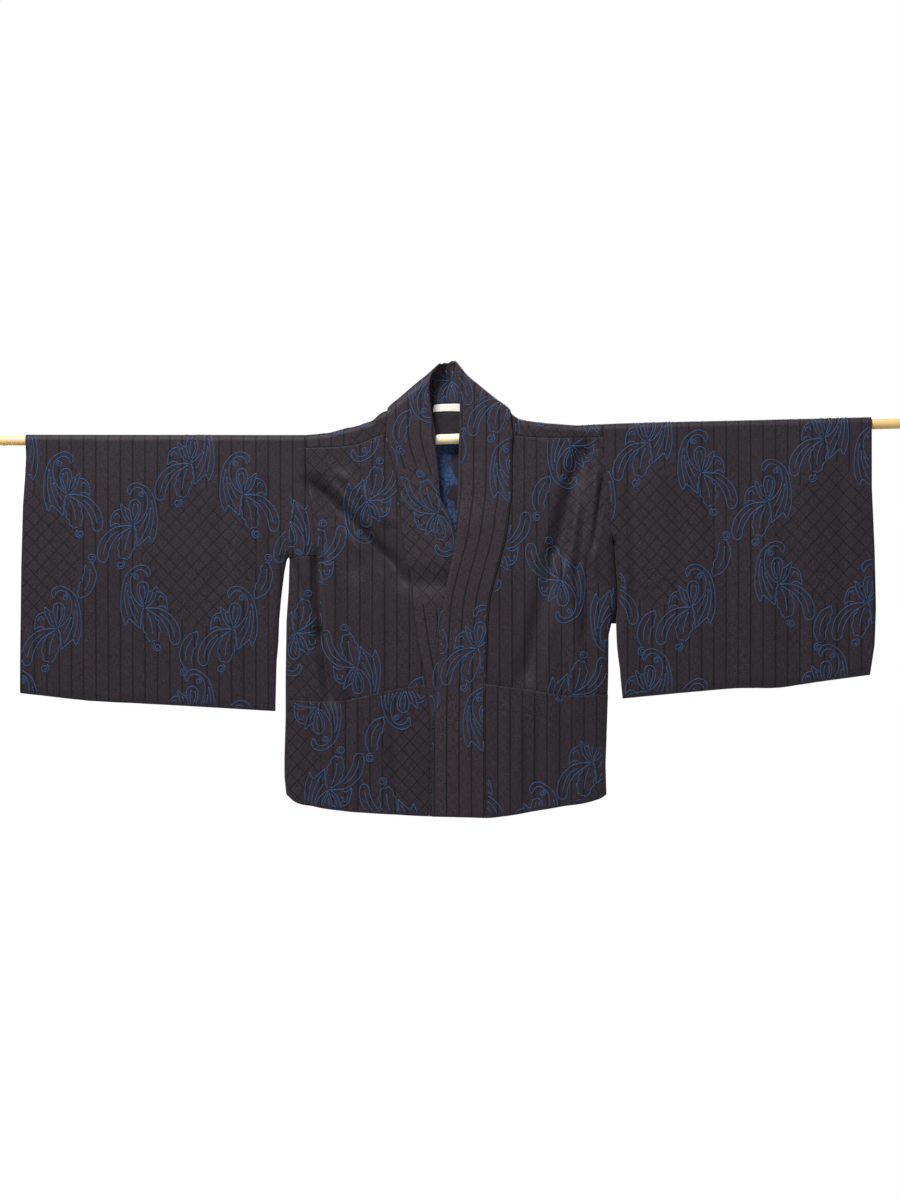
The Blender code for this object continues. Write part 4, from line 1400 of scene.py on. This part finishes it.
def rod_piece(look):
    """The rod: rings of points round its axis at (x, 0, z) with radius r, closed at both ends."""
    at_node = np.linspace(ROD_NODE.x[0], ROD_NODE.x[-1], 17)
    x = np.unique(np.concatenate([np.linspace(ROD.x[0], ROD.x[-1], 121), at_node]))
    swell = smooth(x, ROD_NODE.x, ROD_NODE.swell)
    angle = np.linspace(0, 2 * np.pi, 40, endpoint=False)
    radius = (rod_radius(x) + swell)[:, None]
    down = -rod_height(x)[:, None] - radius * np.sin(angle)
    return tube("bamboo_rod", panel_point(x[:, None], down, radius * np.cos(angle)), look)


def tube(name, rings, look):
    """A closed bar through rings of points, each ring from +y up over to -y."""
    number = numbered(rings)
    after = np.roll(number, -1, 1)
    walls = np.stack([number[:-1], after[:-1], after[1:], number[1:]], -1).reshape(-1, 4)
    caps = np.stack([number[0][::-1], number[-1]])
    return mesh_piece(name, rings.reshape(-1, 3), [walls, caps], [look])


def underarm_seams_and_shade(look):
    """Dark bars that close the gaps between the sleeves and the body under the arms: partly a seam, partly
    painted shade where each sleeve lies against the body.
    """
    x = np.linspace(-264, -217, 12)
    middle = down_at(STEP_LEFT, x) + 0.2
    left = []
    for dy, dz in ((0.7, 0), (0, -1.6), (-0.7, 0), (0, 1.6)):
        left.append(panel_point(x, middle + dz, middle_y(x, middle) + dy))
    down = np.linspace(146, 306, 30)
    inner = x_at(table("down x", *SLEEVE_INNER_RIGHT), down)
    body = x_at(SIDE_RIGHT, down)
    # The right bar fills the gap down to where it opens: painted shade where the sleeve hangs against the
    # body.
    half = 0.5 * (inner - body) + 0.8 * ease((310 - down) / 20)
    right = []
    for dy, dx in ((0.7, 0), (0, -1), (-0.7, 0), (0, 1)):
        x = 0.5 * (inner + body) + dx * half
        right.append(panel_point(x, down, middle_y(x, down) + dy))
    return [
        tube("underarm_seam_and_shade_left", np.stack(left, 1), look),
        tube("underarm_seam_and_shade_right", np.stack(right, 1), look),
    ]


def neck_seam(look):
    """The dark seam between the band's sewn edge and the back's neckline."""
    row = neck_sections(np.linspace(3.2, 10.8, 61))
    rings = []
    for dy, dz in ((1.6, 0), (0, -2.6), (-1.6, 0), (0, 2.6)):
        rings.append(panel_point(row.sewn_x, 0.6 - row.sewn_z + dz, BAND_BACK_Y + 0.6 + dy))
    return tube("neck_seam", np.stack(rings, 1), look)


# The silk's colours as a screen shows them.
GROUND, DARK = (42, 34, 42), (17, 13, 18)
# The band is the same silk painted a little lighter: painted light.
BAND_LIT_GROUND = (47, 39, 46)
# The pockets' copy of the silk is darkened by this share: painted shade.
POCKET_PAINTED_SHADE = 0.99
# How thick the cloth is made, inside the walls that stand for it.
SHELL = 1.2
BAND_SHELL = 3.2
LABEL_SHELL = 0.9
# Half the width and the height of the figure's thread and of a stitch.
FIGURE_THREAD = (1.1, 0.5)
STITCH_THREAD = (0.5, 0.2)
# How far inside a panel's edges its figure stops, and how far it runs on under a pocket.
FIGURE_IN = 3.0
UNDER_POCKET = 6.0
SLEEVE_REACH = 480
INNER_SEAM_FROM = 220
# Above this the band goes round the neck.
NECK_FROM = -5
# Where a repeat begins on each piece, right and down, and -1 where its cloth is upside down.
ORIGINS = {
    "sleeve_left": ((-338.6, 93.0), 1),
    "sleeve_right": ((420.0, 56.4), 1),
    "front_left": ((-23.2, 154.4), -1),
    "front_right": ((187.6, 234.1), -1),
    "pocket_left": ((-88.0, 632.5), -1),
    "pocket_right": ((327.0, 587.6), 1),
    "back": ((-30.0, -420.0), 1),
    "band_left": ((60, 124.5), -1),
    "band_right": ((-124.8, 295.4), 1),
    "collar_back": ((4, -98), -1),
}
BAND_WEAVE_LEFT = (-44.7, 267.6)


def within(x, first, second, from_left, from_right):
    """Which points lie between two edges, this far inside the left one and the right one."""
    return (x > np.minimum(first, second) + from_left) & (x < np.maximum(first, second) - from_right)


def left_edge(down):
    """The left outer edge of the body: the armhole's, and the side's below it."""
    return np.where(down > ARMHOLE_TO, x_at(CLOSED_LEFT, down), x_at(BODY_GUIDE_LEFT, down))


def over_top(x):
    """How much longer cloth is, from the top of its turn over the rod, than it hangs down."""
    return turn_radius(x) * np.pi / 2 + ridge_height(x)


def inside_sleeve(place, bottom):
    """Which points lie on a sleeve: between its cuff and inner edge and above its bottom."""

    def test(x, length):
        down = np.abs(length) - over_top(x)
        low = np.maximum(down, -ridge_height(x))
        above = down < smooth(x, bottom.x, bottom.down) - FIGURE_IN
        return within(x, place(low, 0.0), place(low, 1.0), FIGURE_IN, FIGURE_IN) & above

    return test


def hem_lines(place, bottom):
    """Where a sleeve's hem and seams are stitched: beside its cuff, its inner edge and its bottom."""
    reach = np.linspace(-SLEEVE_REACH, SLEEVE_REACH, 385)
    cuff, inner = place(0.0, 0.0), place(0.0, 1.0)
    inward = np.sign(inner - cuff)
    low = np.abs(reach) - over_top(cuff)
    x = np.linspace(cuff, inner, 177)
    under = smooth(x, bottom.x, bottom.down) - BOTTOM_STITCH + over_top(x)
    beside = np.stack([place(low, 1.0) - inward * BOTTOM_STITCH, reach], -1)
    return [
        np.stack([place(low, 0.0) + inward * CUFF_STITCH, reach], -1),
        *cut_off(beside, lambda x, length: length > INNER_SEAM_FROM),
        *cut_off(beside, lambda x, length: length < -INNER_SEAM_FROM),
        np.stack([x, under], -1),
        np.stack([x, -under], -1),
    ]


def stitched(lines):
    """Short stitches with gaps between them along lines."""
    return [line[at : at + 2] for line in lines for at in range(0, len(line) - 1, 2)]


def armhole_lines():
    """One more spray, upside down, on the strip of the left sleeve beside the armhole."""

    def test(x, length):
        return (x > -264) & (x < x_at(SLEEVE_ARMHOLE_LEFT, length - 20) - FIGURE_IN) & (length < 208)

    return laid(SPRAY, *ARMHOLE_SPRAY, -1, test)


def side_lines():
    """One more spray on the side of the left front, below the armhole."""

    def test(x, down):
        beside = (x < -219) & (x > left_edge(down) + FIGURE_IN)
        return beside & (down > 200) & (down < down_at(POCKET_MOUTH, x) + UNDER_POCKET)

    return laid(mirrored(SPRAY), *SIDE_SPRAY, -1, test)


def build_sleeve(node, sheet, inner_rows, bottom, place, extra, looks, flip):
    """A sleeve's cloth, the figure on it and the stitches of its hem and seams."""
    name, (origin, turn) = node + "_cloth", ORIGINS[node]
    points = sheet[0]
    rows = (len(points) - ARC_STEPS + 1) // 2
    length = length_over_rod(points, first_rows(points, rows))
    origin = (origin[0], float(origin[1] + over_top(origin[0])))
    cloth = shell(name, sheet, marks_of(points, length, origin, turn), SHELL, looks[:3], flip)
    test = inside_sleeve(place, bottom)
    box = (points[..., 0].min(), -SLEEVE_REACH, points[..., 0].max(), SLEEVE_REACH)
    lines = pattern_lines(origin, turn, test, box) + extra
    over = over_rod([sleeve_closure(inner_rows, bottom)], 0)
    figure = ribbons(name + "_figure", lines, over, SHELL / 2, FIGURE_THREAD, looks[3])
    stitches = [piece for line in hem_lines(place, bottom) for piece in stitched(cut_off(line, test))]
    return cloth, figure, ribbons(name + "_hem", stitches, over, SHELL / 2, STITCH_THREAD, looks[2])


def build_front(node, sheet, closure, band, edge, shoulder, extra, looks, flip):
    """A front's cloth and the figure on it."""
    name, (origin, turn) = node + "_cloth", ORIGINS[node]
    points = sheet[0]
    cloth = shell(name, sheet, marks_of(points, -points[..., 2], origin, turn), SHELL, looks[:3], flip)
    depth = layer_of([closure], front_y, -SIDE_SEAM / 2)

    def place(x, down):
        return panel_point(x, down, depth(x, down))

    def test(x, down):
        beside = within(x, sewn_edge(band, down), x_at(edge, down), FIGURE_IN, FIGURE_IN)
        below = down > down_at(shoulder, x) + 2
        return beside & below & (down < down_at(POCKET_MOUTH, x) + UNDER_POCKET)

    box = (points[..., 0].min(), -20, points[..., 0].max(), 440)
    lines = pattern_lines(origin, turn, test, box) + extra
    return cloth, ribbons(name + "_figure", lines, place, SHELL / 2, FIGURE_THREAD, looks[3])


def build_pocket(node, front, closure, band, gape, looks, flip):
    """A pocket's cloth, the figure on it and the stitches of its mouth's hem."""
    name, (origin, turn) = node + "_cloth", ORIGINS[node]
    points = pocket(front, gape)
    marks = marks_of(points, -points[..., 2], origin, turn)
    cloth = shell(name, (points, numbered(points)), marks, SHELL, looks[:3], flip)
    depth = layer_of([closure], front_y, -SIDE_SEAM / 2)

    def share_down(x, down):
        mouth = down_at(POCKET_MOUTH, x)
        return (down - mouth) / (down_at(HEM, x) - mouth)

    def place(x, down):
        """The front's points moved out along its normals, and forward where the mouth gapes."""
        below = np.clip(share_down(x, down), 0, 1)
        seam = sewn_edge(band, down)
        across = np.clip((x - seam) / (x_at(closure, down) - seam), 0, 1)
        opened = gape * (1 - below) ** 2 * np.sin(np.pi * across) ** 0.7
        dx = (depth(x + NEAR, down) - depth(x - NEAR, down)) / (2 * NEAR)
        dz = (depth(x, down + NEAR) - depth(x, down - NEAR)) / (2 * NEAR)
        lift = (CLOTH + SEAM) / np.sqrt(1 + dx * dx + dz * dz)
        return panel_point(x + dx * lift, down + dz * lift, depth(x, down) - lift - opened)

    def test(x, down):
        share = share_down(x, down)
        beside = within(x, sewn_edge(band, down), x_at(closure, down), 4, 6)
        return beside & (share > 0.02) & (share < 0.985)

    box = (points[..., 0].min(), 400, points[..., 0].max(), 640)
    lines = pattern_lines(origin, turn, test, box)
    figure = ribbons(name + "_figure", lines, place, SHELL / 2, FIGURE_THREAD, looks[3])
    x = np.arange(box[0], box[2], 2.5)
    hem = np.stack([x, down_at(POCKET_MOUTH, x) + POCKET_STITCH], -1)
    stitches = stitched(cut_off(hem, test))
    return cloth, figure, ribbons(name + "_hem", stitches, place, SHELL / 2, STITCH_THREAD, looks[2])


def build_back(sheet, looks):
    """The back's cloth and the figure on it."""
    origin, turn = ORIGINS["back"]
    points = sheet[0]
    on_back = first_rows(points, len(points) - ARC_STEPS - STRIP_STEPS)
    length = length_over_rod(points, ~on_back)
    cloth = shell("back_cloth", sheet, marks_of(points, length, origin, turn), SHELL, looks[:3])

    def test(x, along):
        down = np.abs(along) - over_top(x)
        low = np.where(along > 0, NECK_FROM, down_at(HEM, x) - FIGURE_IN)
        beside_neck = (x < -108) | (x > 112) | (along < -12)
        return within(x, left_edge(down), x_at(SIDE_RIGHT, down), 4, 4) & (down < low) & beside_neck

    lines = pattern_lines(origin, turn, test, (-280, -660, 290, 30))
    place = over_rod([CLOSED_LEFT, CLOSED_RIGHT], SIDE_SEAM / 2)
    return cloth, ribbons("back_cloth_figure", lines, place, SHELL / 2, FIGURE_THREAD, looks[3])


def band_marks(points):
    """The band's own coordinates, which bend with it: right of its sewn edge, and down."""
    above_rod = np.flatnonzero(points[:, -1, 2] > 5.5)
    on_left = np.arange(len(points)) < 0.5 * (above_rod[0] + above_rod[-1])
    down = -points[..., 2]
    at = np.maximum(down, NECK_FROM)
    left = (points[..., 0] - sewn_edge(BAND_LEFT, at))[..., None]
    right = (points[..., 0] - sewn_edge(BAND_RIGHT, at))[..., None]
    left_marks = marks_of(left, down, BAND_WEAVE_LEFT, -1)
    right_marks = marks_of(right, down, *ORIGINS["band_right"])
    return np.where(on_left[:, None, None], left_marks, right_marks)


def band_figure(side, band, lap, sections, look):
    """The figures on one length of the band, in its own coordinates."""
    origin, turn = ORIGINS["band_" + side]

    def edges(down):
        at = np.maximum(down, NECK_FROM)
        return sewn_edge(band, at), free_edge(band, at)

    def place(across, down):
        sewn, free = edges(down)
        x = sewn + across
        share = np.clip((x - sewn) / (free - sewn), 0, 1)
        on_front = front_strip_y(band, lap, down, share)
        return panel_point(x, down, np.where(down > NECK_FROM, on_front, neck_depth(BAND_FRONT_Y, x, down)))

    def test(across, down):
        sewn, free = edges(down)
        x = sewn + across
        at_turn = np.interp(down, -NECK.turn_z[sections], NECK.turn_x[sections])
        at_free = np.interp(down, -NECK.free_z[sections], NECK.free_x[sections])
        outer = np.where(down > NECK_FROM, sewn, at_turn)
        inner = np.where(down > NECK_FROM, free, at_free)
        return within(x, outer, inner, 2.5, 2.5) & (down < down_at(HEM, x) - 4) & (down > -112)

    lines = pattern_lines(origin, turn, test, (-95, -120, 95, 640))
    return ribbons("band_" + side + "_figure", lines, place, BAND_SHELL / 2, FIGURE_THREAD, look)


def collar_figure(look):
    """The figures on the inside of the collar's back, above the label."""
    origin, turn = ORIGINS["collar_back"]

    def place(x, down):
        return panel_point(x, down, neck_depth(BAND_BACK_Y + collar_crease(x, -down), x, down))

    def test(x, down):
        left = np.interp(down, -NECK.turn_z[5::-1], NECK.turn_x[5::-1])
        right = np.interp(down, -NECK.turn_z[9:], NECK.turn_x[9:])
        return (x > left + 8) & (x < right - 8) & (down > -115) & (down < -60)

    lines = pattern_lines(origin, turn, test, (-90, -130, 90, -50))
    return ribbons("collar_back_figure", lines, place, BAND_SHELL / 2, FIGURE_THREAD, look)


def light(name, place, aim, size, energy):
    """A round soft light, in metres and watts, that faces a point."""
    lamp = bpy.data.lights.new(name, "AREA")
    lamp.shape = "DISK"
    lamp.size = size
    lamp.energy = energy
    holder = bpy.data.objects.new(name, lamp)
    holder.location = place
    toward = np.array(aim) - np.array(place)
    level = np.hypot(toward[0], toward[1])
    holder.rotation_euler = (np.arctan2(level, -toward[2]), 0, np.arctan2(-toward[0], toward[1]))
    bpy.context.scene.collection.objects.link(holder)


def board(name, corners, look):
    """One flat board of the stage."""
    mesh = bpy.data.meshes.new(name)
    mesh.from_pydata(np.array(corners) * MM, [], [[0, 1, 2, 3]])
    mesh.materials.append(look)
    piece = bpy.data.objects.new(name, mesh)
    bpy.context.scene.collection.objects.link(piece)


FLOOR = [(-1600, -900, -1350), (1600, -900, -1350), (1600, 250, -1350), (-1600, 250, -1350)]
BACKDROP = [(-4500, 11000, -5300), (4500, 11000, -5300), (4500, 11000, 4700), (-4500, 11000, 4700)]
LIT = (0, 0, -0.3)
CAMERA_AWAY = 5
SHOWN_HEIGHT = 1.992
SENSOR = 36


def set_stage():
    """A pale floor, a white backdrop, three soft lights and the camera."""
    scene = bpy.context.scene
    board("floor", FLOOR, plain("pale_floor", (240, 240, 238), 0.8))
    board("backdrop", BACKDROP, glowing("white_backdrop", 1.0))
    world = bpy.data.worlds.new("white_room")
    world.use_nodes = True
    background = world.node_tree.nodes["Background"]
    background.inputs["Color"].default_value = (1, 1, 1, 1)
    background.inputs["Strength"].default_value = 0.26
    scene.world = world
    light("window_light", (-0.9, -1.7, 2.5), LIT, 0.9, 135)
    light("fill_light", (2.6, -3.4, 0.2), LIT, 1.6, 6)
    light("back_light", (1.2, 3.2, 1.8), LIT, 1.2, 90)
    lens = bpy.data.cameras.new("camera")
    lens.sensor_fit = "VERTICAL"
    lens.sensor_height = SENSOR
    lens.sensor_width = SENSOR
    lens.lens = SENSOR * CAMERA_AWAY / SHOWN_HEIGHT
    camera = bpy.data.objects.new("camera", lens)
    camera.location = (0.0033, -CAMERA_AWAY, -0.267)
    camera.rotation_euler = (np.pi / 2, 0, 0)
    scene.collection.objects.link(camera)
    scene.camera = camera
    scene.view_settings.view_transform = "Standard"


def make_panels(left, right, looks, pocket_shaded_looks):
    """The sleeves, fronts, pockets and back, each as its cloth and what is woven or sewn on it."""
    left_place = between(straight(CUFF_LEFT), straight(INNER_LEFT))
    right_place = between(straight(CUFF_RIGHT), straight(INNER_RIGHT))
    return {
        "sleeve_left": build_sleeve(
            "sleeve_left", sleeve_left(), SLEEVE_INNER_LEFT, BOTTOM_LEFT, left_place,
            armhole_lines(), looks, False,
        ),
        "sleeve_right": build_sleeve(
            "sleeve_right", sleeve_right(), SLEEVE_INNER_RIGHT, BOTTOM_RIGHT, right_place,
            [], looks, True,
        ),
        "front_left": build_front(
            "front_left", left, CLOSED_LEFT, BAND_LEFT, BODY_GUIDE_LEFT, SHOULDER_SEAM_LEFT,
            side_lines(), looks, False,
        ),
        "front_right": build_front(
            "front_right", right, CLOSED_RIGHT, BAND_RIGHT, SIDE_RIGHT, SHOULDER_SEAM_RIGHT,
            [], looks, True,
        ),
        "pocket_left": build_pocket(
            "pocket_left", left[0], CLOSED_LEFT, BAND_LEFT, MOUTH_GAPE_LEFT, pocket_shaded_looks, False,
        ),
        "pocket_right": build_pocket(
            "pocket_right", right[0], CLOSED_RIGHT, BAND_RIGHT, MOUTH_GAPE_RIGHT, pocket_shaded_looks, True,
        ),
        "back": build_back(back_panel(), looks),
    }


def main():
    set_stage()
    cloth = woven("dark_silk", GROUND, DARK)
    # The pockets' copy of the silk, a little darker: painted shade.
    pocket_shaded_silk = woven("dark_silk_pocket_painted_shade", GROUND, DARK, POCKET_PAINTED_SHADE)
    # The band's copy of the silk, painted lighter: painted light.
    band_lit_look = woven("band_silk_painted_light", BAND_LIT_GROUND, DARK)
    inner = reverse_side("silk_inside")
    blue = thread("blue_thread", (44, 72, 110), 0.25)
    # The dark thread also colours the rims of the panels and the band: painted shade along their seams and
    # edges.
    dark = thread("dark_thread_and_rim_shade", (26, 22, 27), 0.2)
    left, right = front_left(), front_right()
    made = make_panels(left, right, [cloth, inner, dark, blue], [pocket_shaded_silk, inner, dark, blue])
    sheet = band_sheet(-left[0][:, 0, 2], -right[0][:, 0, 2])
    band = shell("collar_band_cloth", sheet, band_marks(sheet[0]), BAND_SHELL, [band_lit_look, dark])
    band_figures = [
        band_figure("left", BAND_LEFT, -BAND_LAP, slice(OPEN_FROM, None, -1), blue),
        band_figure("right", BAND_RIGHT, BAND_LAP, slice(OPEN_TO, None), blue),
        collar_figure(blue),
    ]
    seams = [*underarm_seams_and_shade(dark), neck_seam(dark)]
    points = neck_label()
    label_sheet, label_marks = (points, numbered(points)), points[..., [0, 2]]
    label = shell("neck_label_tape", label_sheet, label_marks, LABEL_SHELL, [tape("cream_tape")], True)
    rod = rod_piece(bamboo("bamboo"))
    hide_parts("rod")
    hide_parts("collar_band")
    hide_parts("neck_label")
    for node, (piece, *additions) in made.items():
        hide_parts(node)
        for addition in additions:
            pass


main()
